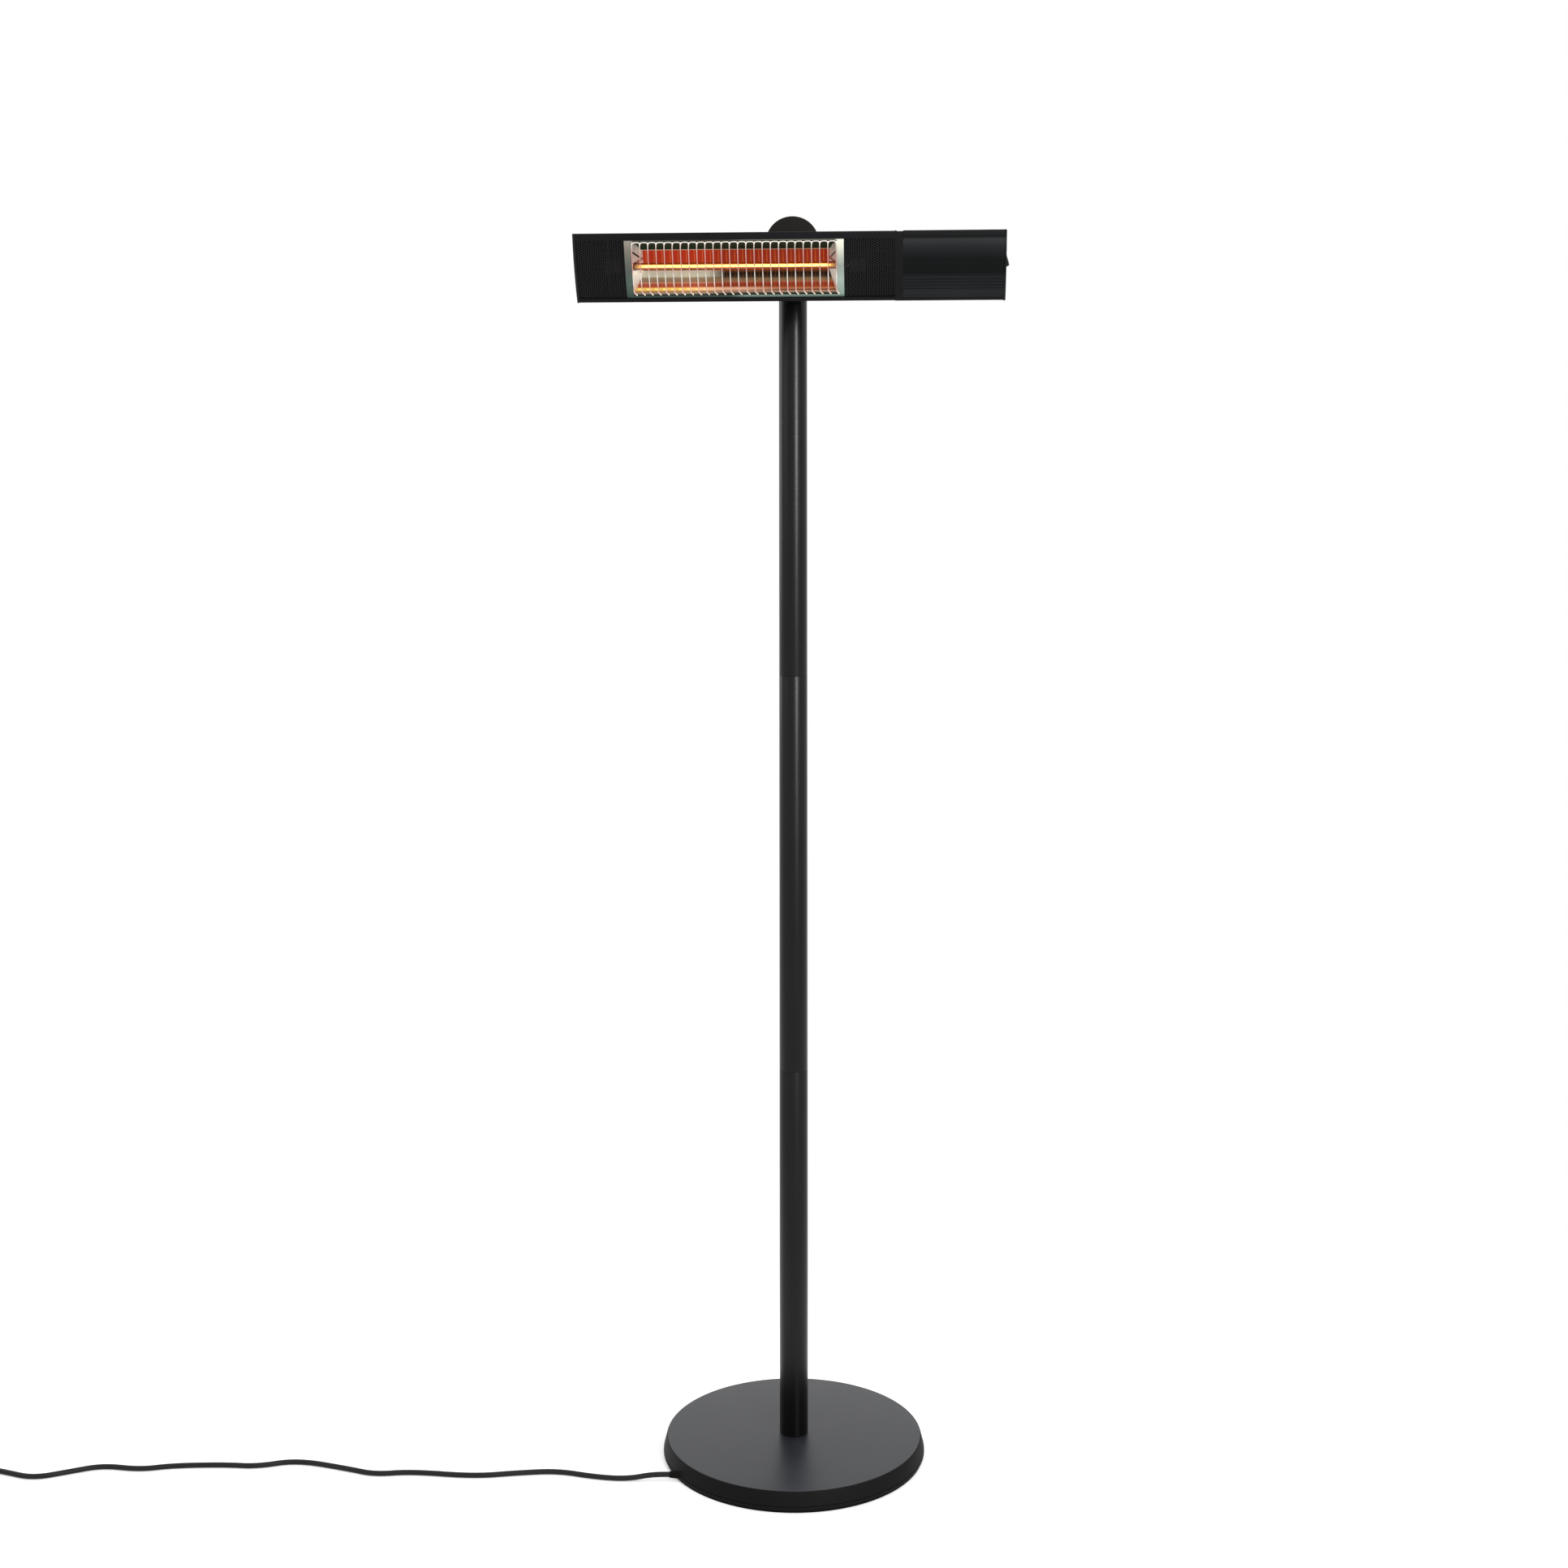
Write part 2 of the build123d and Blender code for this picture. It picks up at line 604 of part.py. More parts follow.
def make_control_cover():
    ring = grown(CONTROL_STEP) - grown(CONTROL_STEP - COVER_WALL)
    shell = ring & front_strip_zone(COVER_SEAM_DEPTH - PANEL_GAP)
    groove_zones = []
    for i in range(RIB_COUNT):
        middle = RIB_FIRST_Z - RIB_PITCH * i
        groove_zones.append(front_zone(middle - RIB_GROOVE / 2, middle + RIB_GROOVE / 2))
    for line_z in (BAND_LINE_TOP, BAND_LINE_BOTTOM):
        groove_zones.append(front_zone(line_z - BAND_LINE_HALF, line_z + BAND_LINE_HALF))
    skin = grown(CONTROL_STEP - RIB_DEPTH)
    for zone in groove_zones:
        shell -= zone - skin
    return head_slice(shell, COLLAR_RIGHT + PANEL_GAP, HEAD_RIGHT)


def make_end_cap(side):
    """A moulded end plate with a rim that plugs into the housing."""
    plate_start = HEAD_RIGHT + PANEL_GAP if side > 0 else HEAD_LEFT - PANEL_GAP - END_CAP_THICKNESS
    plate = head_slice(grown(CONTROL_STEP if side > 0 else 0), plate_start, plate_start + END_CAP_THICKNESS)
    outer_face = plate.faces().sort_by(Axis.X)[-1 if side > 0 else 0]
    plate = chamfer(outer_face.edges(), END_CAP_EDGE)
    rim_inset = COVER_WALL if side > 0 else HEAD_WALL + PANEL_GAP
    rim = grown(-rim_inset) - grown(-rim_inset - HEAD_WALL)
    rim -= front_strip_zone(END_CAP_RIM_SETBACK)
    rim_start = plate_start - END_CAP_RIM_DEPTH if side > 0 else plate_start + END_CAP_THICKNESS
    cap = plate + head_slice(rim, rim_start, rim_start + END_CAP_RIM_DEPTH)
    cut_from, cut_to = plate_start - END_CAP_CUT, plate_start + END_CAP_CUT
    if side > 0:
        cap -= block(cut_from, cut_to,
                     SWITCH_Y - SWITCH_SHELL_WIDTH - PANEL_GAP, SWITCH_Y + SWITCH_SHELL_WIDTH + PANEL_GAP,
                     SWITCH_Z - SWITCH_SHELL_HALF - PANEL_GAP, SWITCH_Z + SWITCH_SHELL_HALF + PANEL_GAP)
    recess_from = plate_start + END_CAP_THICKNESS - END_SCREW_RECESS if side > 0 else plate_start
    recess_to = recess_from + END_SCREW_RECESS
    for y, z in end_screw_places():
        cap -= cylinder_along_x(M4_RADIUS + RUNNING_CLEARANCE, cut_from, cut_to, y, z, sides=SMALL_SIDES)
        cap -= cylinder_along_x(M4_HEAD_RADIUS + END_SCREW_PLAY, recess_from, recess_to, y, z, sides=SMALL_SIDES)
    return cap


def end_screw_places():
    return [
        (HEAD_FRONT_Y + END_SCREW_INSET, HEAD_HALF_FRONT - END_SCREW_DROP),
        (HEAD_FRONT_Y + END_SCREW_INSET, -HEAD_HALF_FRONT + END_SCREW_DROP),
        (HEAD_FRONT_Y + HEAD_DEPTH - END_SCREW_INSET, 0),
    ]


def make_end_screws():
    screw = bolt(M4_RADIUS, M4_REACH, M4_HEAD_RADIUS, M4_HEAD_HEIGHT)
    seat = PANEL_GAP + END_CAP_THICKNESS - END_SCREW_RECESS
    pieces = []
    for y, z in end_screw_places():
        pieces.append(Pos(HEAD_RIGHT + seat, y, z) * Rot(0, -90, 0) * screw)
        pieces.append(Pos(HEAD_LEFT - seat, y, z) * Rot(0, 90, 0) * screw)
    return group(pieces)


def make_mesh_panel(x_from, x_to):
    inset = HEAD_WALL + PANEL_GAP
    strip = crown_strip(inset, inset + MESH_THICKNESS, -PANEL_TUCK, PANEL_TUCK)
    return head_slice(strip, x_from, x_to)


def make_window_frame():
    inset = HEAD_WALL + PANEL_GAP
    strip = crown_strip(inset, inset + FRAME_THICKNESS, -PANEL_TUCK, PANEL_TUCK)
    frame = head_slice(strip, WINDOW_LEFT, WINDOW_RIGHT)
    frame -= block(WINDOW_LEFT + FRAME_SIDE, WINDOW_RIGHT - FRAME_SIDE,
                   HEAD_FRONT_Y - FRONT_MARGIN, HEAD_FRONT_Y + FRONT_MARGIN, FRAME_BOTTOM, FRAME_TOP)
    return frame


# ---- reflector and heating tube ----

def trough_outline():
    """The inside of the folded reflector, run out past its mouth."""
    mouth_y = HEAD_FRONT_Y + REFLECTOR_MOUTH_DEPTH
    crease_y = HEAD_FRONT_Y + REFLECTOR_CREASE_DEPTH
    back_y = HEAD_FRONT_Y + REFLECTOR_BACK_DEPTH
    return make_face(Polyline(
        (mouth_y, REFLECTOR_MOUTH_HALF),
        (crease_y, REFLECTOR_CREASE_HALF),
        (back_y, REFLECTOR_BACK_HALF),
        (back_y, -REFLECTOR_BACK_HALF),
        (crease_y, -REFLECTOR_CREASE_HALF),
        (mouth_y, -REFLECTOR_MOUTH_HALF),
        close=True,
    ))


def window_inner():
    return WINDOW_LEFT + FRAME_SIDE, WINDOW_RIGHT - FRAME_SIDE


def make_reflector():
    left, right = window_inner()
    inside = trough_outline()
    mouth_y = HEAD_FRONT_Y + REFLECTOR_MOUTH_DEPTH
    ahead = Rectangle(FRONT_MARGIN, 2 * HEAD_HALF_FRONT, align=(Align.MAX, Align.CENTER))
    sheet = offset(inside, SHEET, kind=Kind.INTERSECTION) - inside - Pos(mouth_y, 0) * ahead
    return head_slice(sheet, left, right)


def make_reflector_end(side):
    """A plate that leans in towards the back and lets the tube through."""
    left, right = window_inner()
    front_x = right if side > 0 else left
    back_x = front_x - side * END_PLATE_INSET
    mouth_y = HEAD_FRONT_Y + REFLECTOR_MOUTH_DEPTH
    back_y = HEAD_FRONT_Y + REFLECTOR_BACK_DEPTH
    thickness = -side * SHEET
    plan = make_face(Polyline(
        (front_x, mouth_y), (back_x, back_y), (back_x + thickness, back_y), (front_x + thickness, mouth_y),
        close=True,
    ))
    plate = extrude(Plane.XY.offset(-HEAD_HALF_FRONT) * plan, 2 * HEAD_HALF_FRONT)
    plate &= head_slice(trough_outline(), left, right)
    return plate - tube_bore(TUBE_RADIUS + TUBE_HOLE_PLAY)


def tube_bore(radius):
    return cylinder_along_x(radius, HEAD_LEFT, HEAD_RIGHT, HEAD_FRONT_Y + TUBE_DEPTH, 0)


def tube_ends():
    left, right = window_inner()
    return left - TUBE_OVERHANG, right + TUBE_OVERHANG


def make_quartz_tube():
    left, right = tube_ends()
    y = HEAD_FRONT_Y + TUBE_DEPTH
    tube = cylinder_along_x(TUBE_RADIUS, left, right, y)
    return tube - cylinder_along_x(TUBE_RADIUS - TUBE_WALL, left, right, y)


def make_filament():
    left, right = tube_ends()
    return cylinder_along_x(FILAMENT_RADIUS, left, right, HEAD_FRONT_Y + TUBE_DEPTH)


def make_tube_cap(side):
    left, right = tube_ends()
    grip_end = right - CAP_GRIP if side > 0 else left + CAP_GRIP
    far_end = grip_end + side * CAP_LENGTH
    y = HEAD_FRONT_Y + TUBE_DEPTH
    low, high = min(grip_end, far_end), max(grip_end, far_end)
    cap = block(low, high, y - CAP_DEPTH / 2, y + CAP_DEPTH / 2, -CAP_HEIGHT / 2, CAP_HEIGHT / 2)
    cap = chamfer(cap.edges().filter_by(Axis.X), CAP_EDGE)
    tube_end = right if side > 0 else left
    bore_low, bore_high = min(grip_end, tube_end), max(grip_end, tube_end)
    return cap - cylinder_along_x(TUBE_RADIUS + PANEL_GAP, bore_low, bore_high, y)


def make_tube_bracket(side):
    """A sheet plate across the housing that carries one end of the tube."""
    left, right = tube_ends()
    middle = right + BRACKET_OFFSET if side > 0 else left - BRACKET_OFFSET
    inset = HEAD_WALL + MESH_THICKNESS + 3 * PANEL_GAP + BRACKET_PLAY
    face = grown(-inset) & front_strip_zone(BRACKET_DEPTH)
    y = HEAD_FRONT_Y + TUBE_DEPTH
    face -= Pos(y, 0) * Rectangle(CAP_DEPTH + 2 * PANEL_GAP, CAP_HEIGHT + 2 * PANEL_GAP)
    start = middle - BRACKET_THICKNESS / 2
    return head_slice(face, start, start + BRACKET_THICKNESS)


# ---- wire guard ----

def crown_y(z):
    """How far forward the head's crowned front stands at a height."""
    crown_radius = (HEAD_HALF_FRONT ** 2 + HEAD_CROWN ** 2) / (2 * HEAD_CROWN)
    return HEAD_FRONT_Y - HEAD_CROWN + crown_radius - math.sqrt(crown_radius ** 2 - z ** 2)


def guard_wire_path():
    """One wire: a leg, a cut corner, the crowned front in three stretches, a cut corner and a leg."""
    leg_y = HEAD_FRONT_Y + GUARD_LEG_DEPTH
    shoulder = GUARD_HALF - GUARD_CORNER
    third = shoulder / 3
    half = [(leg_y, GUARD_HALF), (crown_y(shoulder) + GUARD_CORNER, GUARD_HALF),
            (crown_y(shoulder), shoulder), (crown_y(third), third)]
    lower = [(y, -z) for y, z in reversed(half)]
    return [(0, y, z) for y, z in half + lower]


def make_wire_guard():
    points = guard_wire_path()
    left, right = window_inner()
    first = (left + right - GUARD_PITCH * (GUARD_WIRES - 1)) / 2
    section = RegularPolygon(GUARD_WIRE_RADIUS, GUARD_SIDES, major_radius=False)
    placed = Plane(origin=points[0], x_dir=(1, 0, 0), z_dir=Vector(0, -1, 0)) * section
    wire = sweep(placed, path=Polyline(*points), transition=Transition.RIGHT)
    wires = [Pos(first + GUARD_PITCH * i, 0, 0) * wire for i in range(GUARD_WIRES)]
    rail_y = points[0][1] - GUARD_RAIL_RADIUS
    rail_section = RegularPolygon(GUARD_RAIL_RADIUS, GUARD_SIDES, major_radius=False)
    rail_start = Plane.YZ.offset(left + GUARD_RAIL_INSET)
    rail = extrude(rail_start * Pos(rail_y, GUARD_HALF) * rail_section, right - left - 2 * GUARD_RAIL_INSET)
    return rail.fuse(*wires)


# ---- head fittings ----

def make_tilt_lug():
    rear_y = HEAD_FRONT_Y + HEAD_DEPTH
    half = FORK_EAR_INNER - SIDE_PLAY
    plate = block(-LUG_PLATE_HALF, LUG_PLATE_HALF, rear_y, rear_y + LUG_PLATE,
                  -LUG_PLATE_HEIGHT, LUG_PLATE_HEIGHT)
    plate = chamfer(plate.edges().filter_by(Axis.Y), LUG_PLATE_CORNER)
    lug = block(-half, half, rear_y + LUG_PLATE, 0, -LUG_RADIUS, LUG_RADIUS)
    lug += cylinder_along_x(LUG_RADIUS, -half, half)
    lug += plate
    lug -= cylinder_along_x(BOLT_RADIUS + RUNNING_CLEARANCE, -half, half)
    hole = cylinder_along_y(M5_RADIUS + RUNNING_CLEARANCE, rear_y, rear_y + LUG_PLATE, sides=SMALL_SIDES)
    for x in (-LUG_SCREW_X, LUG_SCREW_X):
        lug -= Pos(x, 0, 0) * hole
    return lug


def make_lug_screws():
    rear_y = HEAD_FRONT_Y + HEAD_DEPTH
    screw = Rot(90, 0, 0) * bolt(M5_RADIUS, LUG_PLATE, M5_HEAD_RADIUS, M5_HEAD_HEIGHT)
    return group([Pos(x, rear_y + LUG_PLATE, 0) * screw for x in (-LUG_SCREW_X, LUG_SCREW_X)])


def make_head_gland():
    """The cable gland in the back of the control end, where the lead goes in."""
    rear_y = HEAD_FRONT_Y + HEAD_DEPTH + CONTROL_STEP
    x = (COLLAR_RIGHT + HEAD_RIGHT) / 2
    gland = cylinder_along_y(GLAND_NUT_RADIUS, rear_y, rear_y + GLAND_NUT, x, 0, sides=6)
    gland += cylinder_along_y(GLAND_DOME_RADIUS, rear_y + GLAND_NUT, rear_y + GLAND_LENGTH, x, 0,
                              sides=2 * SMALL_SIDES)
    return gland - cylinder_along_y(LEAD_HOLE_RADIUS, rear_y, rear_y + GLAND_LENGTH, x, 0, sides=SMALL_SIDES)


def terminal_places():
    return [TERMINAL_X + TERMINAL_PITCH * i for i in (-1, 0, 1)]


def make_terminal_block():
    front_y, back_y = TERMINAL_Y - TERMINAL_HALF_WIDTH, TERMINAL_Y + TERMINAL_HALF_WIDTH
    body = block(TERMINAL_X - TERMINAL_HALF_LENGTH, TERMINAL_X + TERMINAL_HALF_LENGTH, front_y, back_y,
                 TERMINAL_LOW, TERMINAL_HIGH)
    for x in terminal_places():
        body -= block(x - TERMINAL_HOLE_HALF, x + TERMINAL_HOLE_HALF, front_y, back_y,
                      TERMINAL_HOLE_Z - TERMINAL_HOLE_HALF, TERMINAL_HOLE_Z + TERMINAL_HOLE_HALF)
        body -= upright_cylinder(TERMINAL_WELL_RADIUS, TERMINAL_WELL_BOTTOM, TERMINAL_HIGH, x, TERMINAL_Y,
                                 sides=SMALL_SIDES)
    return body


def make_terminal_screws():
    radius = TERMINAL_WELL_RADIUS - RUNNING_CLEARANCE
    return group([
        upright_cylinder(radius, TERMINAL_SCREW_LOW, TERMINAL_SCREW_HIGH, x, TERMINAL_Y, sides=SMALL_SIDES)
        for x in terminal_places()
    ])


def wire_along(points):
    radii = [INNER_WIRE_BEND] * (len(points) - 2)
    return tube_on(FilletPolyline(*points, radius=radii), INNER_WIRE_RADIUS, WIRE_SIDES)


def make_inner_wires():
    """Heater leads from both ends of the tube, and two switch leads, all to the terminal block."""
    left, right = tube_ends()
    tube_y = HEAD_FRONT_Y + TUBE_DEPTH
    left_end = left + CAP_GRIP - CAP_LENGTH
    right_end = right - CAP_GRIP + CAP_LENGTH
    behind = TERMINAL_Y + WIRE_BEHIND
    left_lead = wire_along([
        (left_end, tube_y, 0),
        (left_end - WIRE_SIDE_STEP, tube_y, 0),
        (left_end - WIRE_SIDE_STEP, behind, TERMINAL_HOLE_Z),
        (TERMINAL_X - TERMINAL_PITCH, behind, TERMINAL_HOLE_Z),
        (TERMINAL_X - TERMINAL_PITCH, TERMINAL_Y + WIRE_END_REACH, TERMINAL_HOLE_Z),
    ])
    right_lead = wire_along([
        (right_end, tube_y, 0),
        (TERMINAL_X, tube_y, TERMINAL_HOLE_Z),
        (TERMINAL_X, TERMINAL_Y - WIRE_END_REACH, TERMINAL_HOLE_Z),
    ])
    tab_x = switch_face_x() - SWITCH_DEPTH - TAB_LENGTH
    hole_x = TERMINAL_X + TERMINAL_PITCH
    upper_lead = wire_along([
        (tab_x, SWITCH_Y, SWITCH_Z + TAB_Z),
        (hole_x + WIRE_UPPER_STEP, SWITCH_Y, SWITCH_Z + TAB_Z),
        (hole_x, behind, TERMINAL_HOLE_Z),
        (hole_x, TERMINAL_Y + WIRE_END_REACH, TERMINAL_HOLE_Z),
    ])
    lower_lead = wire_along([
        (tab_x, SWITCH_Y, SWITCH_Z - TAB_Z),
        (hole_x + WIRE_SIDE_STEP, SWITCH_Y, SWITCH_Z - TAB_Z),
        (hole_x, TERMINAL_Y - WIRE_BEHIND, TERMINAL_HOLE_Z),
        (hole_x, TERMINAL_Y - WIRE_END_REACH, TERMINAL_HOLE_Z),
    ])
    return group([left_lead, right_lead, upper_lead, lower_lead])


# ---- rocker switch ----

def switch_face_x():
    return HEAD_RIGHT + PANEL_GAP + END_CAP_THICKNESS + BEZEL_THICKNESS


def make_switch_body():
    outer = switch_face_x()
    cap_face = outer - BEZEL_THICKNESS
    bezel = block(cap_face, outer, SWITCH_Y - BEZEL_HALF_WIDTH, SWITCH_Y + BEZEL_HALF_WIDTH,
                  SWITCH_Z - BEZEL_HALF, SWITCH_Z + BEZEL_HALF)
    bezel = chamfer(bezel.edges().filter_by(Axis.X), BEZEL_CORNER)
    bezel = chamfer(bezel.faces().sort_by(Axis.X)[-1].edges(), BEZEL_EDGE)
    shell = block(outer - SWITCH_DEPTH, cap_face,
                  SWITCH_Y - SWITCH_SHELL_WIDTH, SWITCH_Y + SWITCH_SHELL_WIDTH,
                  SWITCH_Z - SWITCH_SHELL_HALF, SWITCH_Z + SWITCH_SHELL_HALF)
    hinge_x = outer - HINGE_DEPTH
    cavity = block(hinge_x - CAVITY_DEPTH, outer,
                   SWITCH_Y - SWITCH_OPENING_WIDTH, SWITCH_Y + SWITCH_OPENING_WIDTH,
                   SWITCH_Z - SWITCH_OPENING_HALF, SWITCH_Z + SWITCH_OPENING_HALF)
    body = bezel + shell - cavity
    back_x = outer - SWITCH_DEPTH
    for tab_z in (SWITCH_Z - TAB_Z, SWITCH_Z + TAB_Z):
        body += block(back_x - TAB_LENGTH, back_x, SWITCH_Y - TAB_HALF_WIDTH, SWITCH_Y + TAB_HALF_WIDTH,
                      tab_z - TAB_HALF_THICKNESS, tab_z + TAB_HALF_THICKNESS)
    return body - rocker_pin(ROCKER_PIN_RADIUS + RUNNING_CLEARANCE, SWITCH_OPENING_WIDTH + PIN_SEAT)


def rocker_pin(radius, half_length):
    hinge_x = switch_face_x() - HINGE_DEPTH
    return cylinder_along_y(radius, SWITCH_Y - half_length, SWITCH_Y + half_length, hinge_x, SWITCH_Z)


def make_rocker():
    """The upper half lies flush when on, and the lower half stands proud."""
    lift = math.radians(ROCKER_ANGLE)
    low_x = ROCKER_RISE - ROCKER_TOP_DROP
    outline = make_face(Polyline(
        (low_x, 0),
        (low_x, ROCKER_HALF),
        (-ROCKER_BOTTOM_DEPTH, ROCKER_HALF),
        (-ROCKER_WAIST_DEPTH, 0),
        (-ROCKER_BOTTOM_DEPTH, -ROCKER_HALF),
        (low_x + ROCKER_HALF * math.tan(lift), -ROCKER_HALF),
        close=True,
    ))
    outline &= Circle(ROCKER_SWING_RADIUS)
    hinge_x = switch_face_x() - HINGE_DEPTH
    key = extrude(Plane.XZ.offset(ROCKER_HALF_WIDTH) * outline, -2 * ROCKER_HALF_WIDTH)
    key = Pos(hinge_x, SWITCH_Y, SWITCH_Z) * key
    return key + rocker_pin(ROCKER_PIN_RADIUS, SWITCH_OPENING_WIDTH + PIN_END)


# ---- mains cord ----

# Where the cord lies on the floor, from the base's rim to the coil.
CORD_ROUTE = [
    (EXIT_X, EXIT_Y, EXIT_Z),
    (-188, EXIT_Y, EXIT_Z),
    (-224, -96, 3.5),
    (-271, -92, 3.5),
    (-322, -80, 3.5),
    (-376, -88, 3.5),
    (-436, -99, 3.5),
    (-526, -92, 3.5),
    (-574, -100, 3.5),
    (-614, -86, 3.5),
    (-694, -70, 3.5),
    (-744, -88, 3.5),
    (-789, -86, 3.5),
    (-863, -93, 3.5),
    (-904, -105, 3.5),
    (-959, -101, 3.5),
    (-998, -118, 3.5),
    (-1041, -138, 3.5),
    (-1086, -128, 3.5),
    (-1124, -121, 3.5),
    (COIL_X, -121, 3.5),
]

# The lead inside the stand: through the base, up the pole, and out of the drum's back.
INNER_ROUTE = [
    (EXIT_X + GROMMET_INSIDE, EXIT_Y, EXIT_Z),
    (EXIT_X + GROMMET_INSIDE + 12, EXIT_Y, EXIT_Z),
    (-96, -68, INNER_LEAD_Z),
    (-50, -30, INNER_LEAD_Z),
    (0, 0, INNER_LEAD_Z),
    (0, 0, DRUM_Z),
    (0, DRUM_BACK_Y + 3, DRUM_Z),
]
INNER_ARCS = (22.0, 40.0, 60.0, INNER_BEND, INNER_BEND)


def corner_radii(points):
    """The arc at each corner, as large as its two runs allow."""
    radii = []
    for before, at, after in zip(points, points[1:], points[2:]):
        run_in = Vector(*at) - Vector(*before)
        run_out = Vector(*after) - Vector(*at)
        turn = math.radians(run_in.get_angle(run_out))
        shorter = min(run_in.length, run_out.length)
        radii.append(ARC_SHARE * shorter / math.tan(turn / 2))
    return radii


def tube_on(path, radius, sides):
    """A tube with flat facets, the distance across them twice the radius, one facet facing down."""
    ahead = path % 0
    section = RegularPolygon(radius, sides, major_radius=False, rotation=90.0 - 180.0 / sides)
    placed = Plane(origin=path @ 0, x_dir=Vector(0, 0, 1).cross(ahead), z_dir=ahead) * section
    return sweep(placed, path=path)


def faceted_area(radius, sides):
    return sides * radius ** 2 * math.tan(math.pi / sides)


def make_cord_lead():
    radii = corner_radii(CORD_ROUTE)
    print("cord arc radii, mm:", [round(r) for r in radii])
    path = FilletPolyline(*CORD_ROUTE, radius=radii)
    tube = tube_on(path, CORD_RADIUS, CORD_SIDES)
    expected = faceted_area(CORD_RADIUS, CORD_SIDES) * path.length
    print("cord lead length", round(path.length, 1), "volume share", round(tube.volume / expected, 4))
    return tube


def half_turn(start, span, climb):
    """A half circle from a start point to start + span along the coil's x, climbing as it goes."""
    end = start + Vector(span, 0, climb)
    middle = (start + end) * 0.5
    radius = (end - start).length / 2
    side = 1 if span < 0 else -1
    crest = middle + Vector(0, side * radius, 0)
    return ThreePointArc(start, crest, end), end


def coil_path():
    """Two layers: in towards the middle on the floor, up, and out again on top.

    In the coil's own frame the cord comes in along +y at x = COIL_OUTER."""
    spans = []
    for i in range(COIL_HALF_TURNS):
        spans.append(2 * COIL_OUTER - i * COIL_STEP)
    climb_span = spans[-1] - COIL_STEP
    spans_out = [climb_span + COIL_STEP * (i + 1) for i in range(COIL_HALF_TURNS - 1)]
    at = Vector(COIL_OUTER, 0, 0)
    edges = []
    sign = -1
    for span in spans:
        edge, at = half_turn(at, sign * span, 0)
        edges.append(edge)
        sign = -sign
    edge, at = half_turn(at, sign * climb_span, COIL_RISE)
    edges.append(edge)
    sign = -sign
    for span in spans_out:
        edge, at = half_turn(at, sign * span, 0)
        edges.append(edge)
        sign = -sign
    start = Vector(COIL_OUTER, 0, 0)
    lead_in = Line(start - Vector(0, 2 * CORD_RADIUS, 0), start)
    lift = PLUG_Z - FLOOR_Z - COIL_RISE
    tail_points = [
        at,
        at + Vector(0, TAIL_FLAT, 0),
        at + Vector(0, TAIL_FLAT + TAIL_RISE_LENGTH, lift),
        at + Vector(0, 2 * TAIL_FLAT + TAIL_RISE_LENGTH, lift),
    ]
    tail_radii = corner_radii([tuple(p) for p in tail_points])
    tail = FilletPolyline(*[tuple(p) for p in tail_points], radius=tail_radii)
    return Wire([lead_in, *edges, *tail.edges()])


def coil_location():
    """The coil's x runs along world +Y and its y along world -X."""
    lead_end = Vector(*CORD_ROUTE[-1])
    origin = lead_end + Vector(-2 * CORD_RADIUS, -COIL_OUTER, 0)
    return Plane(origin=origin, x_dir=(0, 1, 0), z_dir=(0, 0, 1)).location


def least_coil_gap(path):
    """The smallest free space between two stretches of the coil, from points along it."""
    count = int(path.length / COIL_SAMPLE)
    points = [path @ (i / count) for i in range(count + 1)]
    skip = int(4 * CORD_RADIUS / COIL_SAMPLE) + 2
    least = path.length
    for i in range(len(points)):
        for j in range(i + skip, len(points)):
            least = min(least, (points[i] - points[j]).length)
    return least - 2 * CORD_RADIUS


def make_cord_coil():
    path = coil_path()
    print("coil length", round(path.length, 1), "least gap", round(least_coil_gap(path), 2))
    tube = tube_on(path, CORD_RADIUS, CORD_SIDES)
    expected = faceted_area(CORD_RADIUS, CORD_SIDES) * path.length
    print("coil volume share", round(tube.volume / expected, 4))
    return coil_location() * tube


def make_inner_lead():
    path = FilletPolyline(*INNER_ROUTE, radius=INNER_ARCS)
    return tube_on(path, CORD_RADIUS, INNER_SIDES)


def make_cord_grommet():
    """The tapered strain relief in the base's rim, fluted outside and straight inside."""
    taper_length = GROMMET_INSIDE * GROMMET_TAPER_SHARE
    narrow = Plane.YZ * RegularPolygon(GROMMET_TIP_RADIUS, SMALL_SIDES)
    wide = Plane.YZ.offset(taper_length) * RegularPolygon(GROMMET_RADIUS, SMALL_SIDES)
    body = loft([narrow, wide]) + extrude(wide, GROMMET_INSIDE - taper_length)
    return Pos(EXIT_X, EXIT_Y, EXIT_Z) * body


def plug_origin():
    end = coil_path() @ 1
    return coil_location() * Pos(*end)


def make_plug_body():
    """A round two-pin mains plug on its side, cable entry towards the coil."""
    relief_end = PLUG_RELIEF
    grip_end = relief_end + PLUG_GRIP
    body_end = grip_end + PLUG_BODY
    profile = make_face(Polyline(
        (0, 0), (PLUG_RELIEF_RADIUS, 0), (PLUG_RELIEF_RADIUS, relief_end), (PLUG_GRIP_RADIUS, relief_end),
        (PLUG_GRIP_RADIUS, grip_end), (PLUG_RADIUS, grip_end), (PLUG_RADIUS, body_end), (0, body_end),
        close=True,
    ))
    body = revolve(Plane.XZ * profile, Axis.Z)
    lying = Rot(-90, 0, 0) * body
    return plug_origin() * lying


def make_plug_pins():
    body_end = PLUG_RELIEF + PLUG_GRIP + PLUG_BODY
    pins = []
    for side in (-1, 1):
        pin = rod(PIN_RADIUS, PIN_LENGTH, 2 * SMALL_SIDES)
        pins.append(plug_origin() * Rot(-90, 0, 0) * Pos(side * PIN_SPACING / 2, 0, body_end) * pin)
    return group(pins)


# ---- everything ----

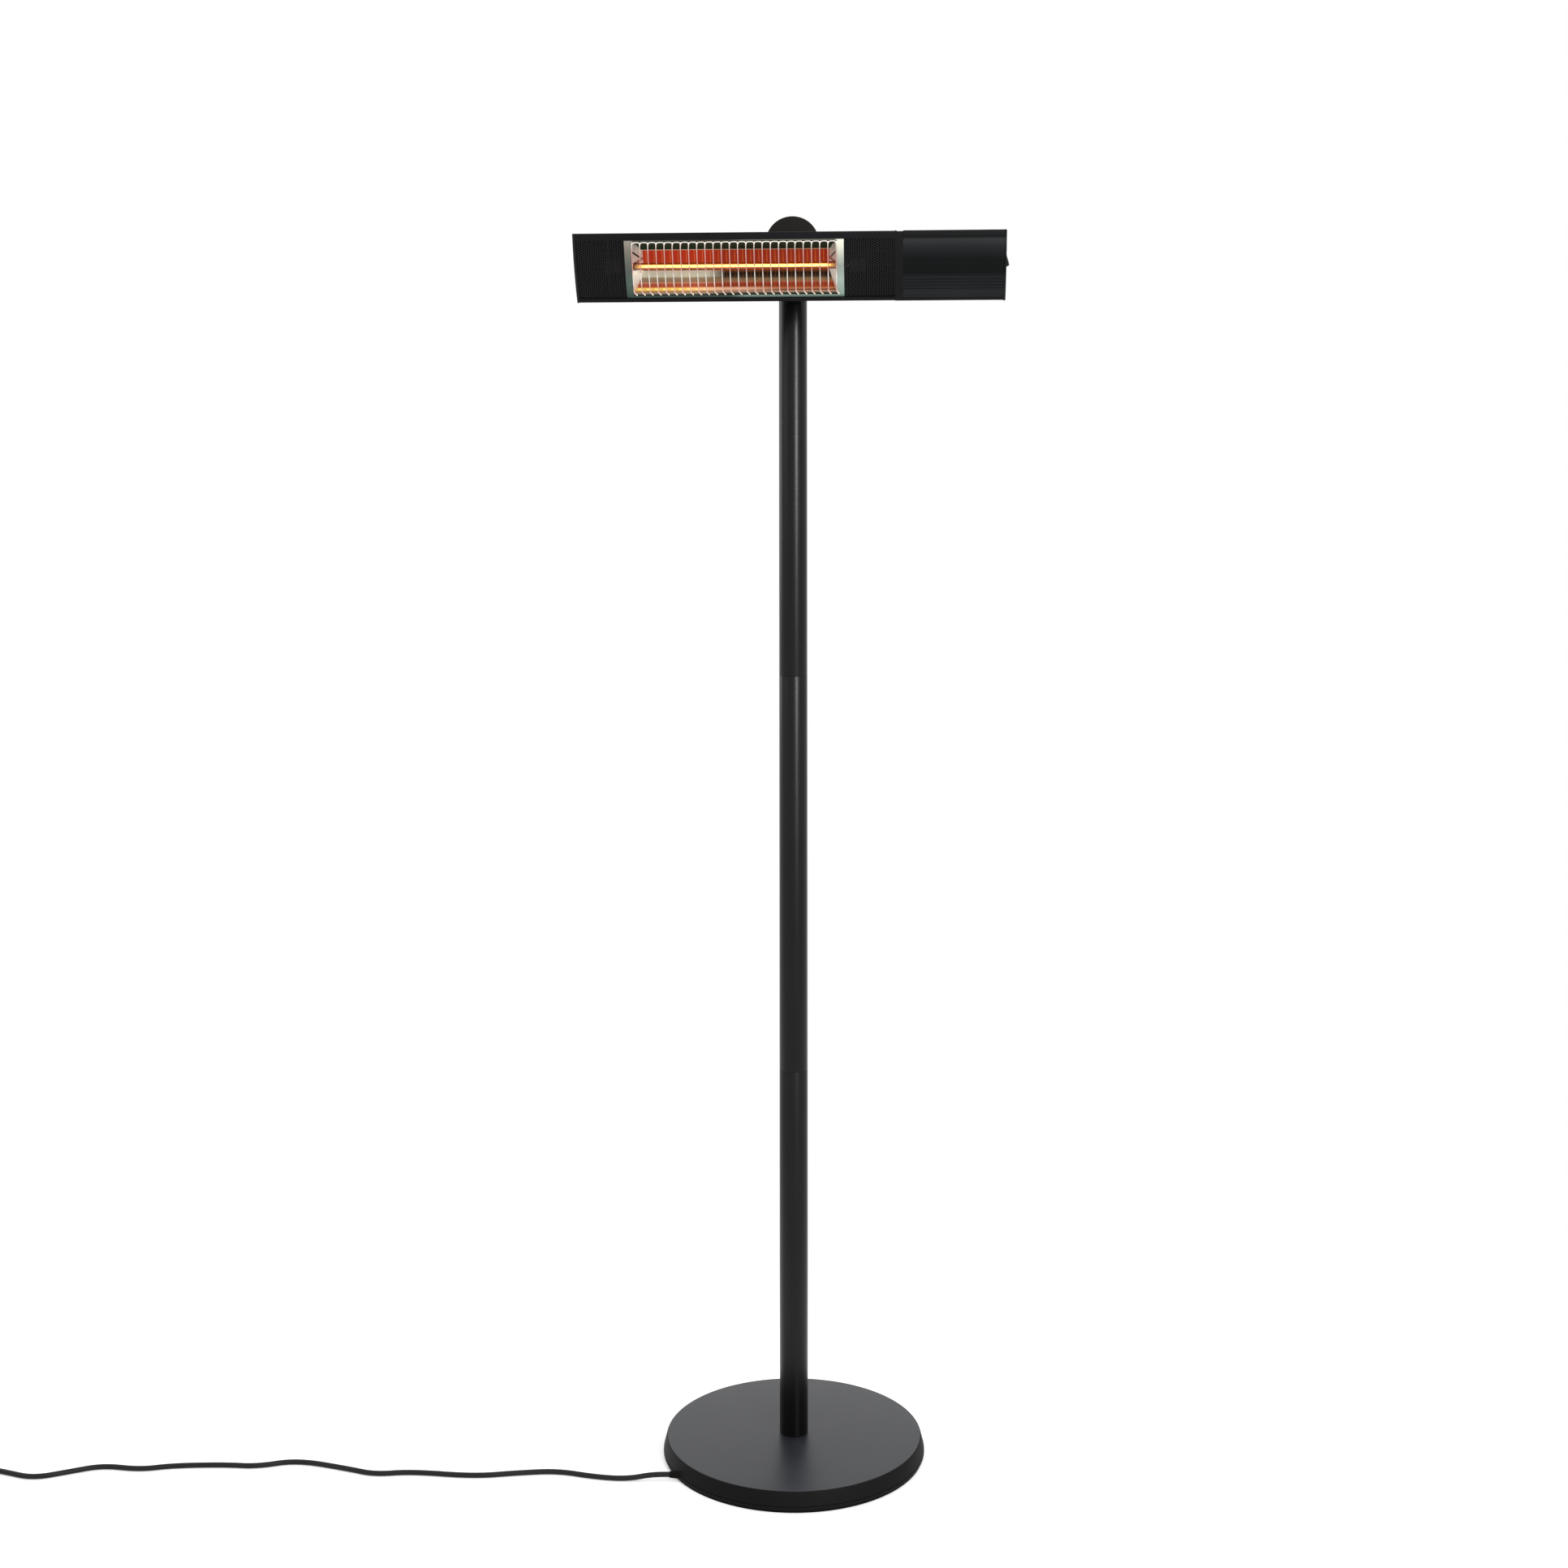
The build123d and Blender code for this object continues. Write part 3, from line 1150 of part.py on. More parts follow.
def main():
    os.makedirs(OUT, exist_ok=True)
    first_seam, second_seam, pole_top = seam_heights()
    save("base_cover", make_base_cover())
    save("base_weight", make_base_weight())
    save("base_plate", make_base_plate())
    save("foot_ring", make_foot_ring())
    save("plate_screws", make_plate_screws())
    save("pole_hub", make_pole_hub())
    save("hub_screws", make_hub_screws())
    save("pole_lower", pole_tube(BASE_TOP_Z, POLE_SECTION))
    save("pole_middle", pole_tube(first_seam, UPPER_SECTION))
    save("pole_upper", pole_tube(second_seam, UPPER_SECTION))
    save("joint_sleeve_lower", make_joint_sleeve(first_seam))
    save("joint_sleeve_upper", make_joint_sleeve(second_seam))
    save("top_fitting", make_top_fitting())
    save("lead_bush", make_lead_bush())
    save("tilt_fork", make_tilt_fork())
    save("fork_screws", make_fork_screws())
    save("tilt_bolt", make_tilt_bolt())
    save("knob_washer", make_knob_washer())
    save("tilt_knob", make_tilt_knob())
    save("head_housing", on_head(make_head_housing()))
    save("control_housing", on_head(make_control_housing()))
    save("control_cover", on_head(make_control_cover()))
    save("end_cap_left", on_head(make_end_cap(-1)))
    save("end_cap_right", on_head(make_end_cap(1)))
    save("end_cap_screws", on_head(make_end_screws()))
    save("mesh_panel_left", on_head(make_mesh_panel(HEAD_LEFT, WINDOW_LEFT - PANEL_GAP)))
    save("mesh_panel_right", on_head(make_mesh_panel(WINDOW_RIGHT + PANEL_GAP, COLLAR_LEFT)))
    save("window_frame", on_head(make_window_frame()))
    save("reflector", on_head(make_reflector()))
    save("reflector_end_left", on_head(make_reflector_end(-1)))
    save("reflector_end_right", on_head(make_reflector_end(1)))
    save("quartz_tube", on_head(make_quartz_tube()))
    save("filament", on_head(make_filament()))
    save("tube_cap_left", on_head(make_tube_cap(-1)))
    save("tube_cap_right", on_head(make_tube_cap(1)))
    save("tube_bracket_left", on_head(make_tube_bracket(-1)))
    save("tube_bracket_right", on_head(make_tube_bracket(1)))
    save("wire_guard", on_head(make_wire_guard()))
    save("tilt_lug", on_head(make_tilt_lug()))
    save("lug_screws", on_head(make_lug_screws()))
    save("head_gland", on_head(make_head_gland()))
    save("terminal_block", on_head(make_terminal_block()))
    save("terminal_screws", on_head(make_terminal_screws()))
    save("inner_wires", on_head(make_inner_wires()))
    save("switch_body", on_head(make_switch_body()))
    save("switch_rocker", on_head(make_rocker()))
    save("inner_lead", make_inner_lead())
    save("cord_grommet", make_cord_grommet())
    save("cord_lead", make_cord_lead())
    save("cord_coil", make_cord_coil())
    save("plug_body", make_plug_body())
    save("plug_pins", make_plug_pins())


main()
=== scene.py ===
from math import cos, pi, radians, sin, sqrt, tan
import bmesh
import bpy
from mathutils import Matrix, Vector
from mathutils.geometry import tessellate_polygon


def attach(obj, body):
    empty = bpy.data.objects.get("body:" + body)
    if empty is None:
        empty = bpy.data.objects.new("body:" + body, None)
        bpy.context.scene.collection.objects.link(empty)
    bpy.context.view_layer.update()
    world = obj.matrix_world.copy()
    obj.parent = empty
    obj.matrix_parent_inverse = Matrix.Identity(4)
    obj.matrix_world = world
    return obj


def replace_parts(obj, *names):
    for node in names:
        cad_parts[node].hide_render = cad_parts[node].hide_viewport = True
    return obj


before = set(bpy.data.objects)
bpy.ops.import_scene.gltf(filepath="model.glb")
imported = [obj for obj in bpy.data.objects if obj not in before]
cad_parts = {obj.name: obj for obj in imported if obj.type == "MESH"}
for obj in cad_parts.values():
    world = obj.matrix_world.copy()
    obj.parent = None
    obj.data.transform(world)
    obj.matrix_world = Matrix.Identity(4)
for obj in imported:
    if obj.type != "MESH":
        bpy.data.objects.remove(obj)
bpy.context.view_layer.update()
scene = bpy.context.scene
scene.view_settings.view_transform = "Standard"

# ---- sizes, in metres and degrees
BASE_TOP_RADIUS = 0.1795
BASE_RIM_RADIUS = 0.1845
BASE_TOP_Z = 0.0275
BASE_EDGE = 0.003
BASE_SHEET = 0.002
BASE_RIM_EDGE = 0.0006
GROOVE_TOP_Z = 0.009
GROOVE_DEPTH = 0.0015
LIP_TOP_Z = 0.0075
LIP_BOTTOM_Z = 0.004
LIP_ROUND = 0.0012
FOOT_OUTER = 0.1825
FOOT_INNER = 0.16
FOOT_ROUNDS = [0.0004, 0.001, 0.0002, 0]
FACES_UP = 0.8

POLE_RADIUS = 0.02
POLE_BORE = POLE_RADIUS - 0.0016
SEAM_EDGE = 0.0005
POLE_SEAMS = [BASE_TOP_Z, BASE_TOP_Z + 0.5145, BASE_TOP_Z + 1.0732, BASE_TOP_Z + 1.6319]

DRUM_RADIUS = 0.038
DRUM_Z = 1.7124
DRUM_HALF = 0.02
DRUM_EDGE = 0.0012
SPIGOT_REACH = 0.06
AXIS_RADIUS = 0.0001

PIVOT = Vector((0, -0.0444, 1.7063))
TILT = 27
FRONT_Y = -0.092
REAR_Y = -0.02
HALF_FRONT = 0.05
HALF_REAR = 0.022
HEAD_CROWN = 0.005
CORNER_START = HALF_FRONT - 0.006
FRONT_ROUND = 0.0016
REAR_ROUND = 0.009
HEAD_WALL = 0.0018
HEAD_LEFT = -0.289
HEAD_RIGHT = 0.292
COLLAR_LEFT = 0.145
COLLAR_RIGHT = 0.156
CONTROL_STEP = 0.0005
COVER_WALL = 0.0022
NOTCH_OFFSET = 0.0025
NOTCH_DEPTH = 0.001
MOUTH_TOP = HALF_FRONT - 0.0098
MOUTH_BOTTOM = -HALF_FRONT + 0.0063
PANEL_INSET = 0.00185
PANEL_REACH = 0.045
GAP = 0.00005

WINDOW_LEFT = -0.222
WINDOW_RIGHT = 0.076
FRAME_SIDE = 0.0092
FRAME_TOP = 0.0382
FRAME_BOTTOM = -0.0395
FRAME_SHEET = 0.0012
BEAD_WIDTH = 0.0009
BEAD_SHEET = 0.0011
BEAD_RISE = 0.001
BEAD_CLEAR = 0.0001
INNER_LEFT = WINDOW_LEFT + FRAME_SIDE
INNER_RIGHT = WINDOW_RIGHT - FRAME_SIDE

HOLE_RADIUS = 0.00108
HOLE_PITCH_X = 0.003
HOLE_PITCH_Z = 0.0034
HOLE_SIDES = 12
HOLE_MARGIN = 0.0012
MESH_SHEET = 0.001
STRIP_HEIGHT = 0.004

REFLECTOR = [(0.0014, 0.038), (0.017, 0.0255), (0.03, 0.0143)]
REFLECTOR_BEND = 0.0012
REFLECTOR_SHEET = 0.0008
END_PLATE_INSET = 0.0108
SLIT = [(0.001, 0.022), (0.024, 0.0052)]
SLIT_HALF = 0.0013
SLIT_CLEAR = 0.0027
PRICK_RADIUS = 0.0007
PRICK_FIRST = (0.0035, 0.0105)
PRICK_STEP = (0.0052, 0.0042)
PRICK_MARGIN = 0.002
PRICK_ROWS, PRICK_COLUMNS = 5, 4
PLATE_TOP = 0.034
PLATE_SLOPE = 0.75
TUBE_DEPTH = 0.007
TUBE_RADIUS = 0.005
TUBE_WALL = 0.001
TUBE_OVERHANG = 0.024
FILAMENT_WIRE = 0.00045
FILAMENT_TURN = 0.0019 - FILAMENT_WIRE
FILAMENT_PITCH = 0.0017
FILAMENT_STEPS = 10

GUARD_WIRES = 26
GUARD_PITCH = 0.0111
GUARD_WIRE = 0.00074
GUARD_HALF = 0.0365
SHOULDER = GUARD_HALF - 0.0032
RAIL_Y = FRONT_Y - 0.0012
RAIL_Z = 0.0367
GUARD_PROUD = 0.0002
ARCH_WIRE = 0.00075
ARCH_DROP = 0.0042
FOOT_WIRE = 0.0009

RIB_COUNT = 5
RIB_FIRST_Z = -0.0126
RIB_PITCH = 0.00465
RIB_GROOVE = 0.0015
RIB_DEPTH = 0.0009
RIB_SPREAD = 1.35
RIB_FULLNESS = 1.7
RIB_STEPS = 260
RIB_LINES = [(RIB_FIRST_Z - RIB_PITCH * i, RIB_GROOVE / 2, RIB_DEPTH) for i in range(RIB_COUNT)]
PARTING_LINES = [(0.0424, 0.0004, 0.0007), (-0.0412, 0.0004, 0.0007)]

CORD_RADIUS = 0.0035
CORD_EXIT = (-0.166, -0.099, 0.008)
COIL_OUTER = 0.043
COIL_STEP = 0.0076
HALF_TURNS = 3
COIL_RISE = 0.0076
ARC_POINTS = 8
PLUG_Z = 0.0185
TAIL_FLAT = 0.01
TAIL_RISE = 0.034
TIE_HALF_WIDTH = 0.0022
TIE_SHEET = 0.0011
TIE_PLAY = 0.0012
TIE_LOW = 0.0004
TIE_ROUNDS = (0.0045, 0.0035)
TIE_TURN = 200
TIE_HEAD_IN, TIE_HEAD_OUT = 0.0008, 0.003
TIE_HEAD_LOW, TIE_HEAD_HIGH = 0.011, 0.0045
TIE_HEAD_HALF = 0.0036

CAMERA_AZIMUTH = 3.3
CAMERA_DISTANCE = 2.85
CAMERA_HEIGHT = 1.304
CAMERA_OFFSET = -0.013
CAMERA_ROLL = -0.05
LENS = 46.06
SHIFT_Y = -0.1604

HORIZON_LIGHT = 0.16
SKY_LIGHT = 0.75
FLOOR_HALF = 14
FLOOR_LIFT = 0.3
FLOOR_STRETCH = (0.42, 1, 1)
FLOOR_SHIFT = (0.16, 0, 0)
FLOOR_NEAR = 0.28
FLOOR_FAR = 0.75

STAND, HEAD, KNOB, ROCKER = "stand", "head", "knob", "rocker"


def turn(degrees, axis):
    return Matrix.Rotation(radians(degrees), 4, axis)


ON_HEAD = Matrix.Translation(PIVOT) @ turn(TILT, "X")


# ---- mesh helpers

def placed(name, data):
    item = bpy.data.objects.new(name, data)
    scene.collection.objects.link(item)
    return item


def shade(mesh, sharp_from=35):
    mesh.shade_smooth()
    mesh.set_sharp_from_angle(angle=radians(sharp_from))


def add_object(name, mesh, body, material, sharp_from=35):
    piece = placed(name, mesh)
    mesh.materials.append(material)
    shade(mesh, sharp_from)
    if body:
        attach(piece, body)
    return piece


def add_skin(name, points, faces, body, material, place=Matrix()):
    """An object from points and faces, moved to its place."""
    mesh = bpy.data.meshes.new(name)
    mesh.from_pydata(points, [], faces)
    mesh.transform(place)
    build = bmesh.new()
    build.from_mesh(mesh)
    bmesh.ops.remove_doubles(build, verts=build.verts, dist=1e-7)
    bmesh.ops.recalc_face_normals(build, faces=build.faces)
    build.to_mesh(mesh)
    build.free()
    return add_object(name, mesh, body, material)


def on_circle(radius, share):
    """Across and up on a circle, after a share of its turn."""
    return radius * cos(2 * pi * share), radius * sin(2 * pi * share)


def ring_faces(rows, columns, closed):
    """Faces between rows of points, each a ring; closed joins the last row to the first too."""
    faces = []
    for i in range(rows if closed else rows - 1):
        here, there = i * columns, (i + 1) % rows * columns
        for k in range(columns):
            after = (k + 1) % columns
            faces.append((here + k, here + after, there + after, there + k))
    return faces


def lathe(name, profile, body, material, place=Matrix(), sides=96):
    """A closed ring of (radius, height) points turned about the Z axis."""
    points = [(*on_circle(r, i / sides), z) for i in range(sides) for r, z in profile]
    return add_skin(name, points, ring_faces(sides, len(profile), True), body, material, place)


def soft_bend(start, corner, end, steps):
    """Points on a bend from start to end that leans on the corner."""
    shares = [k / steps for k in range(steps + 1)]
    return [(1 - t) ** 2 * start + 2 * t * (1 - t) * corner + t ** 2 * end for t in shares]


def rounded(corners, steps):
    """A polygon from (across, up, radius) corners; a radius of 0 keeps a corner sharp."""
    result = []
    places = [Vector(corner[:2]) for corner in corners]
    for at, before, after, corner in zip(places, places[-1:] + places, places[1:] + places, corners):
        before, after, radius = before - at, after - at, corner[2]
        half = before.angle(after) / 2
        if radius <= 0 or half > radians(89):
            result.append(tuple(at))
            continue
        cut = min(radius / tan(half), 0.49 * before.length, 0.49 * after.length)
        start, end = at + before.normalized() * cut, at + after.normalized() * cut
        result += [tuple(point) for point in soft_bend(start, at, end, steps)]
    return result


def ring_section(inner, outer, low, high, rounds=(0, 0, 0, 0), steps=3):
    """A rectangle whose corners may be rounded, as the section of a ring."""
    corners = [(inner, low), (outer, low), (outer, high), (inner, high)]
    return rounded([(*corner, radius) for corner, radius in zip(corners, rounds)], steps)


def both_sides(steps):
    """For each point of an open line, the step that comes to it and the one that goes on."""
    return zip(steps[:1] + steps, steps + steps[-1:])


def offset_line(points, amount):
    """An open line moved to its right hand side by an amount, with mitred corners."""
    line = [Vector(point) for point in points]
    steps = [(after - before).normalized() for before, after in zip(line, line[1:])]
    normals = [Vector((step.y, -step.x)) for step in steps]
    return [tuple(at + (a + b) / (1 + a.dot(b)) * amount) for at, (a, b) in zip(line, both_sides(normals))]


def prism(name, outline, x_from, x_to, body, material, place=ON_HEAD, holes=(), lean=0):
    """A (y, z) outline with holes, run from one x to another; a lean shifts it along x as y grows."""
    loops = [outline, *holes]
    flat = [point for loop in loops for point in loop]
    count = len(flat)
    points = [(x + lean * (y - flat[0][0]), y, z) for x in (x_from, x_to) for y, z in flat]
    triangles = tessellate_polygon([[Vector((y, z, 0)) for y, z in loop] for loop in loops])
    faces = [tuple(t) for t in triangles]
    faces += [tuple(count + i for i in reversed(t)) for t in triangles]
    start = 0
    for loop in loops:
        for i in range(len(loop)):
            a, b = start + i, start + (i + 1) % len(loop)
            faces.append((a, b, count + b, count + a))
        start += len(loop)
    return add_skin(name, points, faces, body, material, place)


def refined(node, body, material, width):
    """A CAD node's own shape with its edges broken, standing for the node."""
    build = bmesh.new()
    build.from_mesh(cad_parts[node].data)
    bmesh.ops.transform(build, matrix=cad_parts[node].matrix_world, verts=build.verts)
    bmesh.ops.remove_doubles(build, verts=build.verts, dist=2e-6)
    flat = radians(1)
    bmesh.ops.dissolve_limit(build, angle_limit=flat, verts=build.verts, edges=build.edges)
    mesh = bpy.data.meshes.new(node + "_fine")
    build.to_mesh(mesh)
    build.free()
    piece = add_object(node + "_fine", mesh, body, material, sharp_from=30)
    edges = piece.modifiers.new("edges", "BEVEL")
    edges.width = width
    edges.segments = 2
    edges.limit_method = "ANGLE"
    edges.angle_limit = radians(35)
    edges.harden_normals = True
    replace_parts(piece, node)
    return piece


def tube_along(name, line, radius, body, material, sides):
    """A round bar through points, its section carried along without twist."""
    steps = [(after - before).normalized() for before, after in zip(line, line[1:])]
    side = steps[0].orthogonal().normalized()
    points = []
    for at, (come, go) in zip(line, both_sides(steps)):
        ahead = (come + go).normalized()
        side = (side - ahead * side.dot(ahead)).normalized()
        up = ahead.cross(side)
        for k in range(sides):
            across, rise = on_circle(radius, k / sides)
            points.append(at + side * across + up * rise)
    count = len(points)
    ends = [tuple(reversed(range(sides))), tuple(range(count - sides, count))]
    return add_skin(name, points, ring_faces(len(line), sides, False) + ends, body, material)


def joined(name, pieces, body):
    """Several meshes of one kind as one piece."""
    target, *others = pieces
    build = bmesh.new()
    for piece in pieces:
        build.from_mesh(piece.data)
    build.to_mesh(target.data)
    build.free()
    shade(target.data)
    target.name = name
    for piece in others:
        bpy.data.objects.remove(piece)
    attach(target, body)
    return target


# ---- node helpers

def light(*values):
    """A colour in linear light from red, green and blue up to 255, one grey level, or a ready colour."""
    if len(values) == 3:
        shares = [value / 255 for value in values]
        return (*[s / 12.92 if s <= 0.04045 else ((s + 0.055) / 1.055) ** 2.4 for s in shares], 1)
    return values[0] if isinstance(values[0], tuple) else (values[0],) * 3 + (1,)


WHITE = light(1)


class Graph:
    """A node tree, with short ways to add nodes and to join them."""

    def __init__(self, tree):
        self.nodes, self.links = tree.nodes, tree.links

    def put(self, socket, value):
        """A socket takes a value of its own or a link from another socket."""
        if isinstance(value, bpy.types.NodeSocket):
            self.links.new(value, socket)
        else:
            socket.default_value = value

    def add(self, kind, inputs, output=0, **settings):
        """One output of a new node, or all, its inputs given by name or number."""
        node = self.nodes.new("ShaderNode" + kind)
        for key, value in settings.items():
            setattr(node, key, value)
        for key, value in inputs.items():
            self.put(node.inputs[key], value)
        return node.outputs if output is None else node.outputs[output]

    def own_place(self):
        return self.add("TexCoord", {}, "Object")

    def noise(self, scale, detail=3, roughness=0.5, stretch=None):
        place = self.own_place()
        if stretch:
            place = self.add("Mapping", {"Vector": place, "Scale": stretch})
        inputs = {"Vector": place, "Scale": scale, "Detail": detail, "Roughness": roughness}
        return self.add("TexNoise", inputs, "Fac")

    def ramp(self, source, stops):
        """A colour ramp fed by a value; each stop is a place and then what light() takes."""
        node = self.nodes.new("ShaderNodeValToRGB")
        elements = node.color_ramp.elements
        for element, (place, *colour) in zip(elements, (stops[0], stops[-1])):
            element.position = place
            element.color = light(*colour)
        for place, *colour in stops[1:-1]:
            elements.new(place).color = light(*colour)
        self.links.new(source, node.inputs["Fac"])
        return node.outputs["Color"]

    def share(self, value, low, high):
        """0 at a low value and 1 at a high one."""
        return self.add("MapRange", {"Value": value, "From Min": low, "From Max": high}, "Result")

    def bands(self, value, stops, unit=0.001):
        """A ramp whose places are given in millimetres, or in another unit."""
        low, high = stops[0][0], stops[-1][0]
        shares = [((place - low) / (high - low), *colour) for place, *colour in stops]
        return self.ramp(self.share(value, low * unit, high * unit), shares)

    def blend(self, factor, first, second, way="MIX"):
        """The first colour at 0 and the second at 1."""
        colours = {"Factor": factor, 6: first, 7: second}
        return self.add("Mix", colours, 2, data_type="RGBA", blend_type=way)

    def tinted(self, first, second):
        return self.blend(1, first, second, "MULTIPLY")

    def mottled(self, tone, source, low, high):
        """A colour times a grey that goes from low to high with a noise."""
        return self.tinted(tone, self.ramp(source, [(0.3, low), (0.7, high)]))

    def calc(self, operation, first, second):
        return self.add("Math", {0: first, 1: second}, operation=operation)

    def times(self, first, second):
        return self.calc("MULTIPLY", first, second)

    def bump(self, height, strength, distance):
        return self.add("Bump", {"Height": height, "Strength": strength, "Distance": distance}, "Normal")

    def seen_directly(self):
        """1 for camera, mirrored and see-through rays, 0 for the rays that light things."""
        path = self.add("LightPath", {}, None)
        either = self.calc("MAXIMUM", path["Is Camera Ray"], path["Is Glossy Ray"])
        return self.calc("MAXIMUM", either, path["Is Transmission Ray"])


class Look(Graph):
    """A material, at first with one principled shader."""

    def __init__(self, name):
        self.material = bpy.data.materials.new(name)
        self.material.use_nodes = True
        super().__init__(self.material.node_tree)
        self.shader = self.nodes["Principled BSDF"]

    def made(self, values):
        """The material, with the shader's inputs given by name."""
        for key, value in values.items():
            self.put(self.shader.inputs[key], value)
        return self.material

    def made_lit(self, tone, lines, glow, metallic, roughness, bumps):
        """The same for brushed metal, with a little painted glow in its own colour."""
        return self.made({
            "Base Color": tone, "Emission Color": tone, "Emission Strength": glow, "Metallic": metallic,
            "Roughness": roughness, "Normal": self.bump(lines, bumps, LINE_DEPTH),
        })

    def shown(self, output):
        """The material, with another shader in place of the principled one."""
        self.links.new(output, self.nodes["Material Output"].inputs["Surface"])
        return self.material


class HeadLook(Look):
    """A material that knows the places along and up the head, in the head's own frame."""

    def __init__(self, name):
        super().__init__(name)
        turned = self.add("Mapping", {
            "Vector": self.own_place(), "Rotation": (radians(-TILT), 0, 0),
            "Location": -(turn(-TILT, "X") @ PIVOT),
        })
        self.along, _, self.height = self.add("SeparateXYZ", {"Vector": turned}, None)

    def by_height(self, *stops):
        return self.bands(self.height, stops)

    def along_window(self, outer, edge, inner):
        """A level along the window, given at three distances from its ends."""
        left = [(INNER_LEFT + reach, level) for reach, level in (outer, edge, inner)]
        right = [(INNER_RIGHT - reach, level) for reach, level in (inner, edge, outer)]
        return self.bands(self.along, left + right, unit=1)


# ---- materials

BRUSHED = (4, 900, 900)
CAST = (40, 40, 40)
GRAIN_DEPTH = 0.00004
LINE_DEPTH = 0.00002


def coated(name, dark, pale, roughness, specular=0.5, mottle=9, spread=0.06):
    """Powder coat: a fine pebbled skin, slightly uneven in colour and gloss."""
    look = Look(name)
    broad = look.noise(mottle, 4, 0.55)
    return look.made({
        "Base Color": look.ramp(broad, [(0.3, *dark), (0.7, *pale)]),
        "Roughness": look.ramp(broad, [(0.25, roughness - spread), (0.75, roughness + spread)]),
        "Specular IOR Level": specular,
        "Normal": look.bump(look.noise(1400, 2, 0.6), 0.25, GRAIN_DEPTH),
    })


def plastic(look, tone, roughness, specular, grain=900):
    """A moulded skin with a faint spark-eroded grain."""
    return look.made({
        "Base Color": tone, "Roughness": roughness, "Specular IOR Level": specular,
        "Normal": look.bump(look.noise(grain, 2), 0.2, GRAIN_DEPTH),
    })


def moulded(name, dark, pale, roughness, specular=0.5, grain=900):
    look = Look(name)
    tone = look.ramp(look.noise(14), [(0.3, *dark), (0.7, *pale)])
    return plastic(look, tone, roughness, specular, grain)


def cover_plastic():
    """The control cover's plastic with painted reflections: a painted highlight near its top, paler again
    lower down, and darkest across its middle.
    """
    look = HeadLook("cover_plastic")
    # Painted highlight bands near the top, painted shade across the middle, painted floor reflection lower
    # down.
    tone = look.by_height(
        (-48, 28, 29, 30), (-36, 28, 29, 30), (-33, 25, 26, 28), (-12, 22, 23, 24),
        (-9, 6, 7, 8), (12, 7, 8, 9), (28, 26, 27, 29), (38, 41, 42, 44),
        (40.5, 18, 19, 20), (48, 14, 15, 16),
    )
    return plastic(look, look.mottled(tone, look.noise(14), 0.88, 1.06), 0.42, 0.09)


def metal(name, dark, pale, roughness, brush=CAST):
    """Rolled, cast or drawn metal with fine lines or pits."""
    look = Look(name)
    lines = look.noise(1, 4, 0.6, stretch=brush)
    return look.made({
        "Base Color": look.ramp(lines, [(0.3, *dark), (0.7, *pale)]),
        "Metallic": 1,
        "Roughness": look.ramp(lines, [(0.3, roughness * 0.85), (0.7, roughness * 1.15)]),
        "Normal": look.bump(lines, 0.15, LINE_DEPTH),
    })


def guard_metal():
    """Bright drawn wire with painted light: a painted pink reflection in front of the red part, painted
    highlights paler above and below, and a faint painted glow.
    """
    look = HeadLook("chrome_wire")
    tone = look.by_height(
        (-40, 236, 230, 222), (-34, 226, 190, 176), (-26, 206, 160, 148), (-22, 226, 218, 212),
        (-8, 222, 212, 206), (-3, 206, 158, 146), (10, 196, 142, 132), (22, 204, 160, 150),
        (28, 196, 178, 168), (34, 232, 226, 218), (40, 244, 240, 234),
    )
    lines = look.noise(700, 2, 0.6)
    tone = look.mottled(tone, lines, 0.8, 1.05)
    # A faint painted glow on the wire, which is no lamp.
    return look.made_lit(tone, lines, glow=0.28, metallic=1, roughness=0.24, bumps=0.1)


def plate_metal():
    """The end plates: brushed, with painted glow and light of the tube: pale below it, a red band by it,
    duller above it with painted dark dots.
    """
    look = HeadLook("end_plate_metal")
    tone = look.by_height(
        (-38, 150, 110, 92), (-30, 186, 172, 158), (-20, 206, 202, 192), (-4, 224, 218, 208),
        (4, 120, 66, 52), (7.5, 176, 164, 152), (18, 172, 168, 158), (30, 150, 148, 138),
        (38, 176, 174, 166),
    )
    scattered = {"Vector": look.own_place(), "Scale": 420, "Randomness": 0.5}
    dots = look.add("TexVoronoi", scattered, "Distance")
    # Painted dark dots above the tube.
    dark_dots = look.ramp(dots, [(0.22, 0.1), (0.34, 1)])
    tone = look.tinted(tone, look.blend(look.share(look.height, 0.008, 0.01), WHITE, dark_dots))
    lines = look.noise(1, 4, 0.6, stretch=BRUSHED)
    return look.made_lit(tone, lines, glow=0.5, metallic=0.6, roughness=0.45, bumps=0.15)


def hot_wire():
    """A wire glowing yellow from its heat, whose glow wavers a little and fades at its ends."""
    look = HeadLook("hot_filament")
    glow_ramp = [(0.3, (0.8, 0.592, 0.176, 1)), (0.7, (1, 0.74, 0.22, 1))]
    return look.made({
        "Base Color": (0.02, 0.012, 0.008, 1), "Roughness": 0.5,
        "Emission Color": look.ramp(look.noise(60, 2), glow_ramp),
        "Emission Strength": look.times(look.along_window((0, 0), (0.008, 0.12), (0.018, 1)), 9),
    })


